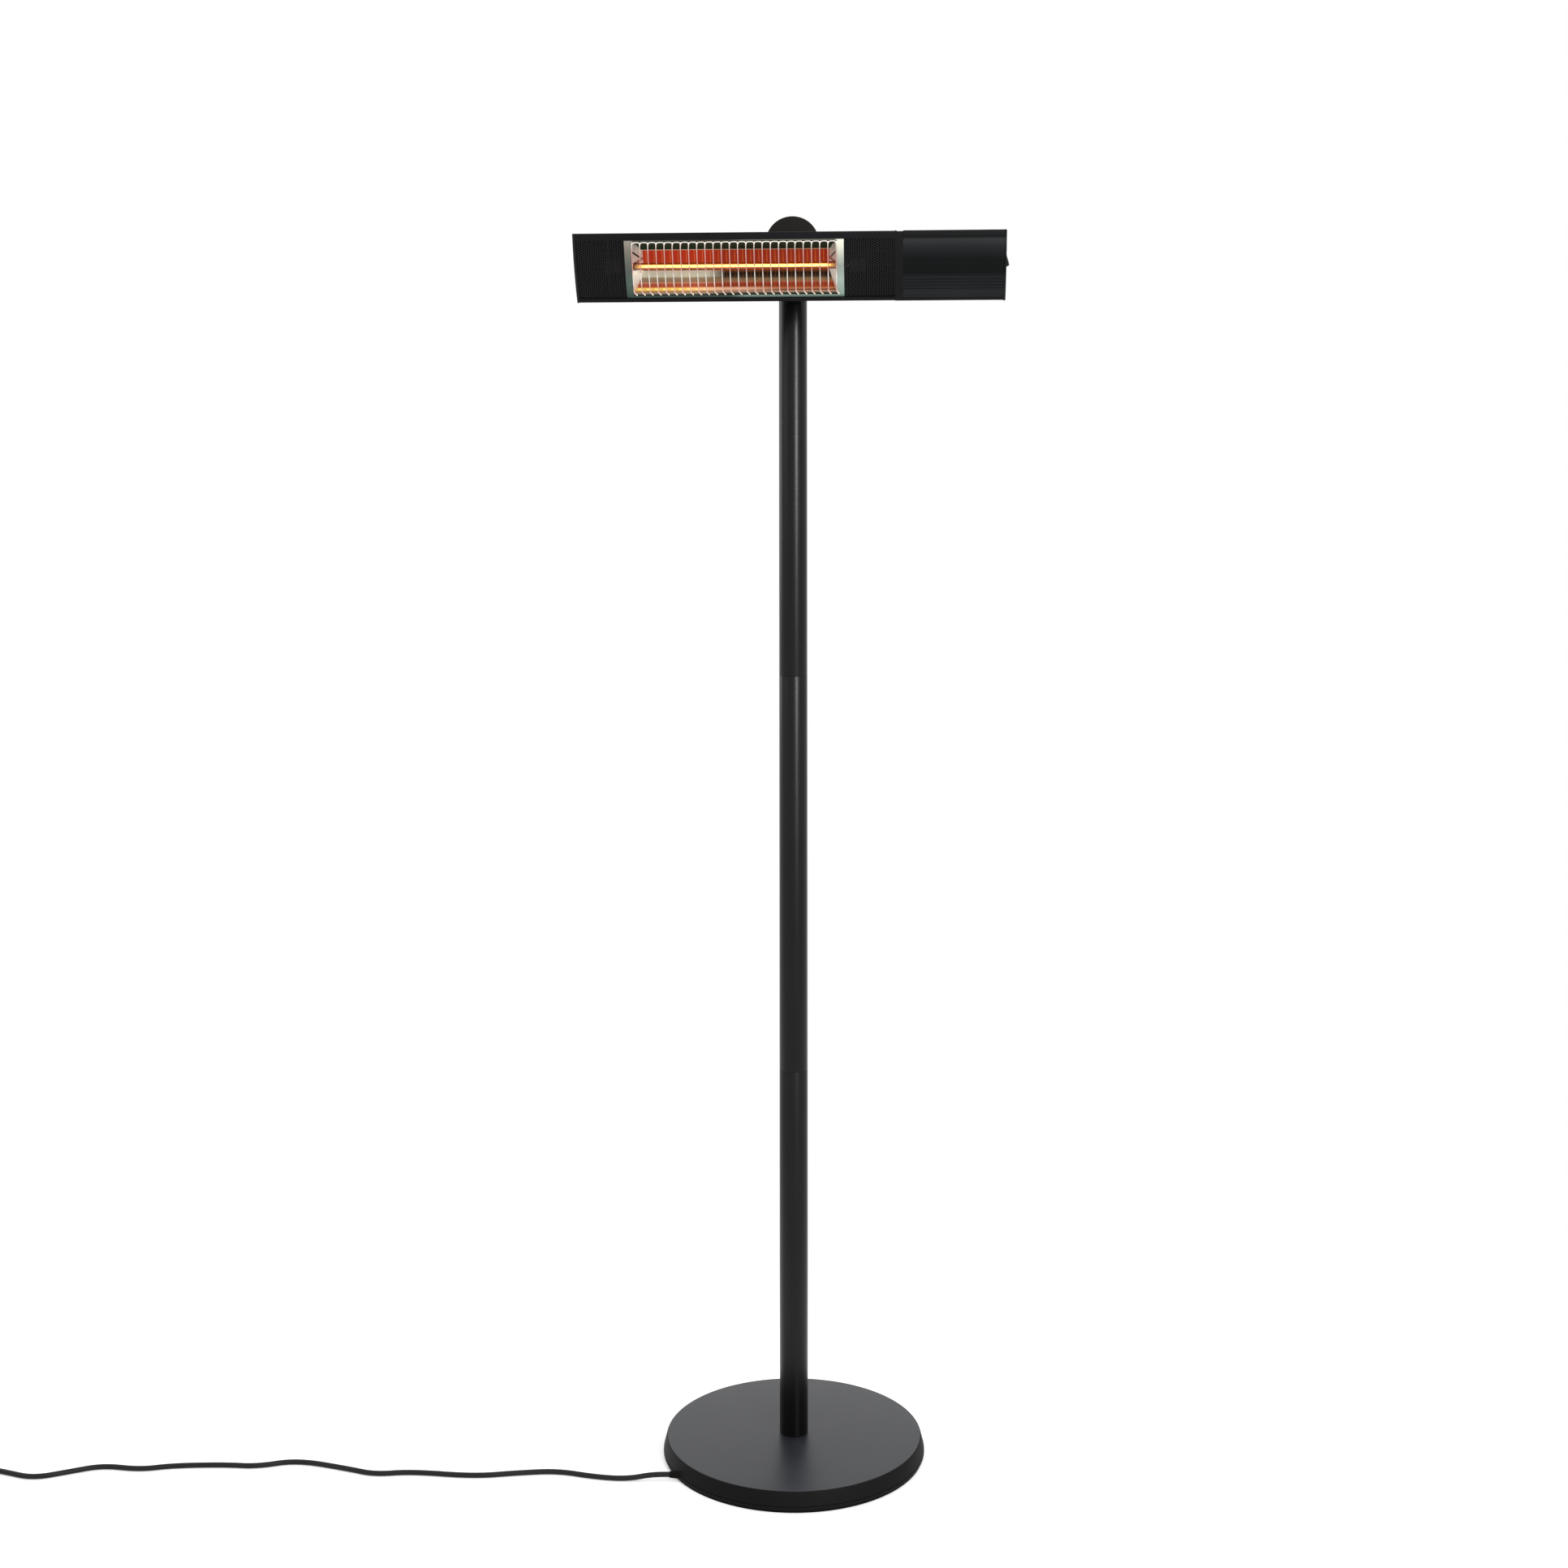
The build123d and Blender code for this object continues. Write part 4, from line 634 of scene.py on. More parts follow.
def reflector_tone(look):
    """The folded sheet's painted reflections and glow: bright reflected lines and a pale band at the left,
    duller ones at the right, with orange streaks spaced like the guard wires.
    """
    left = look.by_height(
        (-38, 150, 138, 118), (-36.2, 152, 136, 114), (-35.4, 160, 78, 50), (-34.1, 255, 228, 110),
        (-32.6, 255, 240, 130), (-31.4, 186, 86, 52), (-29, 150, 66, 48), (-26.8, 186, 122, 96),
        (-25.6, 138, 118, 96), (-22.2, 150, 138, 114), (-20.4, 214, 216, 196), (-14.6, 218, 214, 192),
        (-14, 120, 40, 22), (-8, 168, 50, 26), (15, 168, 46, 26), (16.4, 206, 176, 156),
        (17.6, 28, 32, 20), (25.5, 36, 42, 28), (38, 56, 54, 42),
    )
    right = look.by_height(
        (-38, 84, 80, 66), (-37.4, 56, 44, 32), (-36.2, 164, 152, 130), (-35.2, 150, 96, 74),
        (-34.4, 96, 38, 26), (-33, 178, 122, 88), (-31.8, 150, 66, 36), (-29, 122, 46, 27),
        (-27.2, 156, 60, 42), (-25.8, 140, 108, 82), (-22.8, 122, 106, 80), (-21.4, 66, 55, 44),
        (-17.6, 36, 27, 19), (-14.6, 104, 68, 42), (-14, 150, 50, 26), (15, 142, 40, 22),
        (16.4, 176, 150, 130), (17.6, 28, 30, 18), (25.5, 34, 38, 24), (38, 56, 54, 42),
    )
    turns = look.calc("ADD", look.calc("DIVIDE", look.along, GUARD_PITCH), 40)
    cycle = look.calc("FRACT", turns, 0)
    gap = look.ramp(cycle, [(0, 0.55), (0.3, 0.45), (0.5, 0), (0.7, 0), (1, 0.55)])
    on_line = look.by_height((-38, 0), (-35.2, 0), (-34.4, 1), (-32, 1), (-31.2, 0), (38, 0))
    left = look.blend(look.times(gap, on_line), left, light(236, 160, 92))
    tone = look.blend(look.share(look.along, -0.112, -0.088), left, right)
    paler = look.bands(look.along, [(-150, 0), (-110, 0.75), (-60, 0.6), (-10, 0)])
    tone = look.blend(look.times(paler, on_line), tone, light(250, 200, 168))
    streak = look.ramp(cycle, [(0.2, 0), (0.27, 1), (0.34, 0)])
    streaked = look.by_height((-38, 0.3), (-14.2, 0.12), (-13.8, 0.7), (15.4, 0.5), (16.6, 0), (38, 0))
    tone = look.blend(look.times(streak, streaked), tone, light(226, 122, 56))
    return look.mottled(tone, look.noise(22, 3, 0.6, stretch=(1, 0.35, 0.35)), 0.86, 1.08)


def painted_glow_reflector():
    """Bright folded sheet with painted glow and reflections: a painted red glow behind the tube, dark above
    it and pale below it.
    """
    look = HeadLook("painted_glow_reflector")
    tone = reflector_tone(look)
    # Painted glow: how much the sheet gives off its painted colour at each height, though it is no lamp.
    glow_ramp = look.by_height(
        (-38, 0.6), (-35.6, 0.8), (-27, 0.8), (-25.2, 0.45), (-14.6, 0.45), (-13.8, 0.82),
        (15.2, 0.82), (16.6, 0.5), (17.9, 0.9), (38, 0.9),
    )
    between_plates = look.along_window((0, 0), (0.0085, 0), (0.0105, 1))
    on_back = look.by_height((-38, 0), (-16, 0), (-14, 1), (14, 1), (16, 0), (38, 0))
    return look.made({
        "Base Color": look.blend(glow_ramp, tone, light(0.004)),
        "Emission Color": tone,
        "Emission Strength": look.times(glow_ramp, look.blend(on_back, WHITE, between_plates)),
        "Metallic": look.by_height(
            (-38, 0.7), (-35.6, 0.25), (-27, 0.25), (-25.2, 0.7), (-14.6, 0.7), (-13.8, 0.15),
            (15.2, 0.15), (17.9, 0), (38, 0),
        ),
        "Specular IOR Level": 0, "Roughness": 0.4,
    })


def hot_glass():
    """Thin quartz: clear to see through, with the orange glow stronger towards its edges."""
    look = HeadLook("hot_quartz")
    look.nodes.remove(look.shader)
    reach = look.along_window((-0.012, 0.02), (0.004, 0.25), (0.014, 0.75))
    tint = look.ramp(look.noise(40, 2), [(0.3, (1, 0.1, 0.015, 1)), (0.7, (1, 0.16, 0.03, 1))])
    glow = look.add("Emission", {"Color": tint, "Strength": reach})
    clear = look.add("BsdfTransparent", {"Color": (1, 0.86, 0.66, 1)})
    facing = look.add("LayerWeight", {"Blend": 0.35}, "Facing")
    edges = look.ramp(facing, [(0, 0.12), (0.5, 0.3), (0.9, 0.8)])
    body = look.add("MixShader", {"Fac": edges, 1: clear, 2: glow})
    gloss = look.add("BsdfGlossy", {"Roughness": 0.05})
    return look.shown(look.add("MixShader", {"Fac": look.add("Fresnel", {"IOR": 1.46}), 1: body, 2: gloss}))


def frame_metal():
    """Satin flanges with painted light and shade: pale at the top and greener and darker towards the bottom,
    the right one paler than the left, and a little painted glow.
    """
    look = HeadLook("satin_frame")
    left = look.by_height(
        (-45, 48, 58, 52), (-38, 58, 74, 66), (-22, 74, 90, 82), (-4, 80, 84, 80),
        (10, 94, 96, 88), (26, 116, 112, 102), (38.5, 138, 134, 122), (39.5, 52, 60, 54),
        (45, 40, 44, 42),
    )
    right = look.by_height(
        (-45, 52, 70, 62), (-38, 128, 146, 136), (-18, 150, 166, 156), (2, 138, 146, 138),
        (16, 172, 176, 162), (30, 208, 208, 192), (38.5, 220, 220, 206), (39.5, 52, 60, 54),
        (45, 40, 44, 42),
    )
    tone = look.blend(look.share(look.along, -0.08, -0.06), left, right)
    # Painted shade: the top rail between the flanges is darkened.
    between = look.along_window((-FRAME_SIDE, 1), (0, 1), (0.004, 0.32))
    tone = look.tinted(tone, look.blend(look.share(look.height, 0, 0.01), WHITE, between))
    lines = look.noise(1, 4, 0.6, stretch=(900, 12, 12))
    tone = look.mottled(tone, lines, 0.92, 1.06)
    return look.made_lit(tone, lines, glow=0.3, metallic=0.85, roughness=0.38, bumps=0.12)


COAT = coated("powder_coat", (13, 13, 15), (19, 19, 21), 0.56, 0.09)
POLE_COAT = coated("pole_coat", (5, 5, 6), (9, 9, 10), 0.3, 0.22, spread=0.03)
BASE_COAT = coated("base_coat", (22, 24, 28), (33, 35, 41), 0.37, 0.47, mottle=14, spread=0.04)
# A darker, duller copy of the base coat for the cover's side: painted shade.
SHADED_SIDE_COAT = coated("base_side_painted_shade", (9, 9, 10), (13, 12, 12), 0.6, 0.09)
DRUM_COAT = coated("drum_coat", (19, 16, 13), (24, 21, 18), 0.5, 0.12)
MESH_COAT = coated("mesh_coat", (14, 14, 16), (21, 21, 23), 0.45, 0.14)
IRON = coated("cast_weight", (40, 40, 42), (52, 52, 54), 0.6)
COVER_PLASTIC = cover_plastic()
COLLAR_PLASTIC = moulded("collar_plastic", (9, 9, 10), (14, 14, 15), 0.42, 0.12)
BLACK_PLASTIC = moulded("black_plastic", (14, 14, 15), (20, 20, 21), 0.38, 0.25)
TIE_PLASTIC = moulded("tie_plastic", (24, 24, 25), (32, 32, 33), 0.45)
RUBBER = moulded("rubber", (9, 7, 6), (14, 11, 9), 0.75, 0.08)
CORD_SKIN = moulded("cord_skin", (8, 8, 8), (13, 13, 13), 0.5, 0.25, grain=1500)
WIRE_SKIN = moulded("wire_skin", (34, 32, 30), (44, 42, 40), 0.6, 0.2)
CERAMIC = moulded("ceramic", (205, 200, 190), (222, 218, 208), 0.55)
# Tube-end ceramic darkened to grey-brown as painted shade inside the head.
CAP_CERAMIC = moulded("tube_end_ceramic", (64, 58, 52), (78, 72, 64), 0.6, 0.2)
FRAME_METAL = frame_metal()
MIRROR = painted_glow_reflector()
END_METAL = plate_metal()
CHROME = guard_metal()
# Steel darkened as painted shade for the parts seen through the mesh.
DARK_STEEL = metal("steel_darkened_as_shade", (40, 40, 42), (58, 57, 58), 0.45)
STEEL = metal("zinc_steel", (150, 150, 150), (185, 185, 184), 0.34)
BRASS = metal("plug_pin_metal", (190, 188, 184), (215, 212, 208), 0.25, BRUSHED)
FILAMENT = hot_wire()
HOT_QUARTZ = hot_glass()


# ---- camera, light and floor

def make_camera():
    lens = bpy.data.cameras.new("camera")
    lens.lens = LENS
    lens.shift_y = SHIFT_Y
    lens.clip_end = 60
    camera = placed("camera", lens)
    around = turn(CAMERA_AZIMUTH, "Z")
    camera.location = around @ Vector((CAMERA_OFFSET, -CAMERA_DISTANCE, CAMERA_HEIGHT))
    camera.rotation_euler = (around @ turn(90, "X") @ turn(CAMERA_ROLL, "Z")).to_euler()
    scene.camera = camera


def soft_light(name, place, target, size, power):
    lamp = bpy.data.lights.new(name, "AREA")
    lamp.shape = "RECTANGLE"
    lamp.size, lamp.size_y = size
    lamp.energy = power
    item = placed(name, lamp)
    item.location = place
    item.rotation_euler = (Vector(target) - Vector(place)).to_track_quat("-Z", "Y").to_euler()


def make_world():
    """A sky that lights the object, and white where it is seen."""
    world = bpy.data.worlds.new("studio")
    scene.world = world
    world.use_nodes = True
    graph = Graph(world.node_tree)
    height = graph.add("SeparateXYZ", {"Vector": graph.add("TexCoord", {}, "Generated")}, "Z")
    stops = [(-1, HORIZON_LIGHT), (0.05, HORIZON_LIGHT), (0.45, SKY_LIGHT), (1, SKY_LIGHT)]
    lit = graph.add("Background", {"Color": graph.bands(height, stops, unit=1)})
    seen = graph.add("Background", {"Color": WHITE})
    mixed = graph.add("MixShader", {"Fac": graph.seen_directly(), 1: lit, 2: seen})
    graph.links.new(mixed, graph.nodes["World Output"].inputs["Surface"])


def make_floor():
    """A pale floor that keeps the shadow near the base and is seen as white further out."""
    mesh = bpy.data.meshes.new("floor")
    corners = [(x * FLOOR_HALF, y * FLOOR_HALF, 0) for x, y in ((-1, -1), (1, -1), (1, 1), (-1, 1))]
    mesh.from_pydata(corners, [], [(0, 1, 2, 3)])
    floor = placed("floor", mesh)
    look = Look("pale_floor")
    look.made({"Base Color": light(0.86), "Roughness": 0.9, "Specular IOR Level": 0.1})
    seen = look.seen_directly()
    lift = look.add("Emission", {"Color": WHITE, "Strength": look.times(seen, FLOOR_LIFT)})
    lifted = look.add("AddShader", {0: look.shader.outputs["BSDF"], 1: lift})
    white = look.add("Emission", {"Color": WHITE})
    oval = {"Vector": look.own_place(), "Scale": FLOOR_STRETCH, "Location": FLOOR_SHIFT}
    reach = look.add("VectorMath", {0: look.add("Mapping", oval)}, "Value", operation="LENGTH")
    far = look.times(look.share(reach, FLOOR_NEAR, FLOOR_FAR), seen)
    mesh.materials.append(look.shown(look.add("MixShader", {"Fac": far, 1: lifted, 2: white})))


def make_stage():
    make_camera()
    make_world()
    make_floor()
    soft_light("key", (1.62, -2.68, 1.95), (0, 0, 1.5), (0.56, 1.3), 74)
    soft_light("low_key", (1.62, -2.68, 0.9), (0, 0, 1), (0.5, 0.8), 8)
    soft_light("fill", (-2.8, -1.6, 2.2), (0, 0, 0.9), (1.8, 1.8), 9)
    soft_light("top", (0, 0.6, 3.9), (0, 0, 0), (2.4, 2.4), 34)
    soft_light("edge", (-2.4, 1.1, 1.7), (0, 0, 1.2), (0.6, 1.4), 8)


# ---- stand

def make_base():
    """The pressed cover, its side given a darker, duller copy of the top's coat as painted shade, and the
    rubber ring under it.
    """
    groove = BASE_RIM_RADIUS - GROOVE_DEPTH
    corners = [
        (POLE_BORE, BASE_TOP_Z, 0),
        (BASE_TOP_RADIUS, BASE_TOP_Z, BASE_EDGE),
        (BASE_RIM_RADIUS, GROOVE_TOP_Z, BASE_RIM_EDGE),
        (groove, GROOVE_TOP_Z, 0),
        (groove, LIP_TOP_Z, 0),
        (BASE_RIM_RADIUS, LIP_TOP_Z, LIP_ROUND),
        (BASE_RIM_RADIUS, LIP_BOTTOM_Z, LIP_ROUND),
        (groove - BASE_SHEET, LIP_BOTTOM_Z, 0),
        (BASE_TOP_RADIUS - BASE_EDGE - BASE_SHEET, BASE_TOP_Z - BASE_SHEET, 0),
        (POLE_BORE, BASE_TOP_Z - BASE_SHEET, 0),
    ]
    cover = lathe("base_cover_fine", rounded(corners, 5), STAND, BASE_COAT, sides=192)
    cover.data.materials.append(SHADED_SIDE_COAT)
    # Faces not turned up take the darker side coat as painted shade.
    for polygon in cover.data.polygons:
        polygon.material_index = int(polygon.normal.z <= FACES_UP)
    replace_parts(cover, "base_cover")
    ring = ring_section(FOOT_INNER, FOOT_OUTER, 0, LIP_BOTTOM_Z, FOOT_ROUNDS)
    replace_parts(lathe("foot_ring_fine", ring, STAND, RUBBER, sides=192), "foot_ring")


def make_poles():
    for name, bottom, top in zip(("pole_lower", "pole_middle", "pole_upper"), POLE_SEAMS, POLE_SEAMS[1:]):
        section = ring_section(POLE_BORE, POLE_RADIUS, bottom, top, (0, SEAM_EDGE, SEAM_EDGE, 0))
        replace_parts(lathe(name + "_fine", section, STAND, POLE_COAT), name)


def make_top_fitting():
    """The drum behind the head on its neck, with the spigot inside the pole."""
    along_y = Matrix.Translation((0, 0, DRUM_Z)) @ turn(90, "X")
    bottom, top = POLE_SEAMS[-1], DRUM_Z - DRUM_RADIUS / 2
    rim = ring_section(AXIS_RADIUS, DRUM_RADIUS, -DRUM_HALF, DRUM_HALF, (0, DRUM_EDGE, DRUM_EDGE, 0), 4)
    neck = ring_section(AXIS_RADIUS, POLE_RADIUS, bottom, top, (0, SEAM_EDGE, 0, 0))
    spigot = ring_section(AXIS_RADIUS, POLE_BORE - GAP, bottom - SPIGOT_REACH, bottom)
    parts = [
        lathe("drum_part", rim, None, DRUM_COAT, place=along_y, sides=128),
        lathe("neck_part", neck, None, DRUM_COAT),
        lathe("spigot_part", spigot, None, DRUM_COAT, sides=48),
    ]
    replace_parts(joined("top_fitting_fine", parts, STAND), "top_fitting")


# ---- head shells

def crown_y(z, inset=0):
    """Where the crowned front stands at a height, or a surface inside it."""
    radius = (HALF_FRONT ** 2 + HEAD_CROWN ** 2) / (2 * HEAD_CROWN)
    centre = FRONT_Y - HEAD_CROWN + radius
    return centre - sqrt((radius - inset) ** 2 - z ** 2)


def crown_points(z_from, z_to, count, inset=0):
    heights = [z_from + (z_to - z_from) * i / count for i in range(count + 1)]
    return [(crown_y(z, inset), z) for z in heights]


def back_line():
    """The head's outline behind the crown, from its top corner round to its bottom corner."""
    upper = [
        (crown_y(CORNER_START), CORNER_START, 0),
        (FRONT_Y, HALF_FRONT, FRONT_ROUND),
        (REAR_Y, HALF_REAR, REAR_ROUND),
    ]
    return rounded(upper + [(y, -z, radius) for y, z, radius in reversed(upper)], 6)


def shell_line(front_top, front_bottom):
    """From a height on the crown up, round the back, and up to a lower height on the crown."""
    upper = crown_points(front_top, CORNER_START, 4)[:-1]
    lower = crown_points(-CORNER_START, front_bottom, 4)[1:]
    return upper + back_line() + lower


def wall_outline(line, wall, step=0):
    """A wall of an even thickness along an open line, its outside moved out by a step."""
    return offset_line(line, -step) + offset_line(line, wall - step)[::-1]


def make_housing():
    outline = wall_outline(shell_line(MOUTH_TOP, MOUTH_BOTTOM), HEAD_WALL)
    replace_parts(prism("head_housing_fine", outline, HEAD_LEFT, COLLAR_LEFT, HEAD, COAT), "head_housing")


def make_collar():
    """The control end's shell: its front strip with a notch, and its back behind the cover."""
    line = shell_line(0, 0)
    notch_from = COLLAR_LEFT + NOTCH_OFFSET
    outer = offset_line(line, -CONTROL_STEP)
    sunk = offset_line(line, NOTCH_DEPTH - CONTROL_STEP)
    inner = offset_line(line, COVER_WALL - CONTROL_STEP)[::-1]
    in_notch = [z > MOUTH_TOP and y < FRONT_Y + HEAD_CROWN for y, z in line]
    notched = [low if cut else high for low, high, cut in zip(sunk, outer, in_notch)]
    back = wall_outline([p for p in back_line() if p[0] >= FRONT_Y - 0.002], COVER_WALL, CONTROL_STEP)
    parts = [
        prism("collar_part", outer + inner, COLLAR_LEFT, notch_from, None, COLLAR_PLASTIC),
        prism("notch_part", notched + inner, notch_from, COLLAR_RIGHT, None, COLLAR_PLASTIC),
        prism("back_part", back, COLLAR_RIGHT, HEAD_RIGHT, None, COLLAR_PLASTIC),
    ]
    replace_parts(joined("control_housing_fine", parts, HEAD), "control_housing")


def ribbed_line():
    """The control cover's crowned front with its ribs' rounded grooves and two parting lines."""
    points = []
    for y, z in crown_points(-CORNER_START, CORNER_START, RIB_STEPS):
        sunk = 0
        for middle, half, depth in RIB_LINES + PARTING_LINES:
            reach = abs(z - middle) / (half * RIB_SPREAD)
            if reach < 1:
                sunk = depth * min(1, RIB_FULLNESS * cos(reach * pi / 2))
        points.append((y + sunk, z))
    return points


def make_control_cover():
    front = offset_line(ribbed_line(), -CONTROL_STEP)
    heights = (CORNER_START, 0.03, 0.015, 0, -0.015, -0.03, -CORNER_START)
    back = [(crown_y(z) + COVER_WALL, z) for z in heights]
    cover = prism("control_cover_fine", front + back, COLLAR_RIGHT + GAP, HEAD_RIGHT, HEAD, COVER_PLASTIC)
    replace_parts(cover, "control_cover")


class Sheet:
    """A thin sheet under the head's crown: each (x, z) place makes an outer and an inner point."""

    def __init__(self):
        self.points, self.faces = [], []

    def point(self, x, z):
        for inset in (PANEL_INSET, PANEL_INSET + MESH_SHEET):
            self.points.append((x, crown_y(z, inset), z))
        return len(self.points) - 2

    def face(self, *corners):
        """The outer face and the inner one, facing the other way."""
        self.faces.append(corners)
        self.faces.append(tuple(corner + 1 for corner in reversed(corners)))

    def strip(self, x_from, x_to, z_from, z_to):
        steps = max(1, int((z_to - z_from) / STRIP_HEIGHT))
        for k in range(steps):
            z1, z2 = (z_from + (z_to - z_from) * n / steps for n in (k, k + 1))
            self.face(*[self.point(x, z) for x, z in ((x_from, z1), (x_to, z1), (x_to, z2), (x_from, z2))])

    def holed_cell(self, x, z):
        """A cell one pitch wide and high round a middle, with a round hole."""
        half_x, half_z = HOLE_PITCH_X / 2, HOLE_PITCH_Z / 2
        rim, edge, reaches = [], [], []
        for k in range(HOLE_SIDES):
            c, s = on_circle(1, (k + 0.5) / HOLE_SIDES)
            rim.append(self.point(x + HOLE_RADIUS * c, z + HOLE_RADIUS * s))
            reach = min(half_x / max(abs(c), 1e-6), half_z / max(abs(s), 1e-6))
            edge.append(self.point(x + reach * c, z + reach * s))
            reaches.append((reach * c, reach * s))
        for k in range(HOLE_SIDES):
            n = (k + 1) % HOLE_SIDES
            self.face(edge[k], edge[n], rim[n], rim[k])
            self.faces.append((rim[k], rim[n], rim[n] + 1, rim[k] + 1))
        for sx, sz in ((-1, -1), (-1, 1), (1, -1), (1, 1)):
            near = [k for k, (across, up) in enumerate(reaches) if across * sx > 0 and up * sz > 0]
            side = max(near, key=lambda k: abs(reaches[k][0]))
            top = max(near, key=lambda k: abs(reaches[k][1]))
            tip = self.point(x + sx * half_x, z + sz * half_z)
            if side != top:
                self.face(edge[side], tip, edge[top])


def mesh_panel(name, node, x_from, x_to):
    """Perforated sheet: upright columns of round holes, every other one half a pitch higher."""
    z_low = MOUTH_BOTTOM - HOLE_MARGIN
    columns = int((x_to - x_from) / HOLE_PITCH_X)
    rows = int((MOUTH_TOP + HOLE_MARGIN - z_low) / HOLE_PITCH_Z)
    z_high = z_low + rows * HOLE_PITCH_Z
    margin = (x_to - x_from - columns * HOLE_PITCH_X) / 2
    sheet = Sheet()
    for i in range(columns):
        x = x_from + margin + i * HOLE_PITCH_X
        odd = i % 2
        start = z_low + odd * HOLE_PITCH_Z / 2
        for j in range(rows - odd):
            sheet.holed_cell(x + HOLE_PITCH_X / 2, start + (j + 0.5) * HOLE_PITCH_Z)
        if odd:
            sheet.strip(x, x + HOLE_PITCH_X, z_low, start)
            sheet.strip(x, x + HOLE_PITCH_X, z_high - HOLE_PITCH_Z / 2, z_high)
    sheet.strip(x_from, x_to, -PANEL_REACH, z_low)
    sheet.strip(x_from, x_to, z_high, PANEL_REACH)
    sheet.strip(x_from, x_from + margin, z_low, z_high)
    sheet.strip(x_to - margin, x_to, z_low, z_high)
    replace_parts(add_skin(name, sheet.points, sheet.faces, HEAD, MESH_COAT, ON_HEAD), node)


def make_window_frame():
    """Two broad side flanges and two narrow rails, with a low bead at both sides of the window."""
    full = (-PANEL_REACH, PANEL_REACH, PANEL_INSET, FRAME_SHEET, 20)
    bead = (FRAME_BOTTOM, FRAME_TOP, PANEL_INSET - BEAD_RISE, BEAD_SHEET, 20)
    plates = [
        (WINDOW_LEFT, INNER_LEFT, *full),
        (INNER_RIGHT, WINDOW_RIGHT, *full),
        (INNER_LEFT, INNER_RIGHT, FRAME_TOP, PANEL_REACH, PANEL_INSET, FRAME_SHEET, 4),
        (INNER_LEFT, INNER_RIGHT, -PANEL_REACH, FRAME_BOTTOM, PANEL_INSET, FRAME_SHEET, 4),
        (INNER_LEFT - BEAD_RISE, INNER_LEFT - BEAD_RISE + BEAD_WIDTH, *bead),
        (INNER_RIGHT + BEAD_CLEAR, INNER_RIGHT + BEAD_CLEAR + BEAD_WIDTH, *bead),
    ]
    parts = []
    for x_from, x_to, z_from, z_to, inset, sheet, count in plates:
        outer = crown_points(z_from, z_to, count, inset)
        inner = crown_points(z_from, z_to, count, inset + sheet)
        parts.append(prism("frame_part", outer + inner[::-1], x_from, x_to, None, FRAME_METAL))
    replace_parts(joined("window_frame_fine", parts, HEAD), "window_frame")


# ---- reflector, tube and guard

def reflector_line():
    half = [(FRONT_Y + depth, height) for depth, height in REFLECTOR]
    return half + [(y, -z) for y, z in reversed(half)]


def make_reflector():
    bends = [0] + [REFLECTOR_BEND] * 4 + [0]
    inner = rounded([(*point, radius) for point, radius in zip(reflector_line(), bends)], 4)
    outline = inner + offset_line(inner, -REFLECTOR_SHEET)[::-1]
    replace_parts(prism("reflector_fine", outline, INNER_LEFT, INNER_RIGHT, HEAD, MIRROR), "reflector")


def round_hole(y, z, radius, sides):
    return [(y + c, z + s) for c, s in (on_circle(radius, k / sides) for k in range(sides))]


def plate_pricks(depth):
    """Rows of small holes on the plate's upper half, clear of its edges and of the slit."""
    start, end = Vector(SLIT[0]), Vector(SLIT[1])
    across = (end - start).normalized().orthogonal()
    holes = []
    for row in range(PRICK_ROWS):
        for column in range(PRICK_COLUMNS):
            y = PRICK_FIRST[0] + PRICK_STEP[0] * (column + row % 2 / 2)
            z = PRICK_FIRST[1] + PRICK_STEP[1] * row
            inside = y <= depth - PRICK_MARGIN and z <= PLATE_TOP - PLATE_SLOPE * y - PRICK_MARGIN
            if inside and abs((Vector((y, z)) - start).dot(across)) >= SLIT_CLEAR:
                holes.append(round_hole(y, z, PRICK_RADIUS, 8))
    return holes


def end_plate(name, front_x, side):
    """A slanting plate with small holes, a slit and a round way for the tube."""
    mouth_y = FRONT_Y + REFLECTOR[0][0]
    depth = REFLECTOR[-1][0] - REFLECTOR[0][0]
    tube = round_hole(TUBE_DEPTH - REFLECTOR[0][0], 0, TUBE_RADIUS + TUBE_WALL, 32)
    slit = offset_line(SLIT, SLIT_HALF) + offset_line(SLIT, -SLIT_HALF)[::-1]
    cuts = [tube, *plate_pricks(depth), slit]
    holes = [[(y + mouth_y, z) for y, z in cut] for cut in cuts]
    back_x = front_x - side * REFLECTOR_SHEET
    lean = -side * END_PLATE_INSET / depth
    plate = prism(name + "_fine", reflector_line(), front_x, back_x, HEAD, END_METAL, holes=holes, lean=lean)
    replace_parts(plate, name)


def make_heater():
    """The quartz tube and the wound wire inside it."""
    left, right = INNER_LEFT - TUBE_OVERHANG, INNER_RIGHT + TUBE_OVERHANG
    middle_y = FRONT_Y + TUBE_DEPTH
    along_x = ON_HEAD @ Matrix.Translation((0, middle_y, 0)) @ turn(90, "Y")
    section = ring_section(TUBE_RADIUS - TUBE_WALL, TUBE_RADIUS, left, right)
    tube = lathe("quartz_tube_fine", section, HEAD, HOT_QUARTZ, place=along_x, sides=48)
    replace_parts(tube, "quartz_tube")
    points = []
    for i in range(int((right - left) / FILAMENT_PITCH) * FILAMENT_STEPS + 1):
        y, z = on_circle(FILAMENT_TURN, i / FILAMENT_STEPS)
        points.append(ON_HEAD @ Vector((left + FILAMENT_PITCH * i / FILAMENT_STEPS, middle_y + y, z)))
    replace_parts(tube_along("filament_fine", points, FILAMENT_WIRE, HEAD, FILAMENT, 6), "filament")


def guard_y(z):
    return crown_y(z) + GUARD_PROUD


def guard_bar(points, radius):
    return tube_along("guard_bar", [ON_HEAD @ point for point in points], radius, None, CHROME, 10)


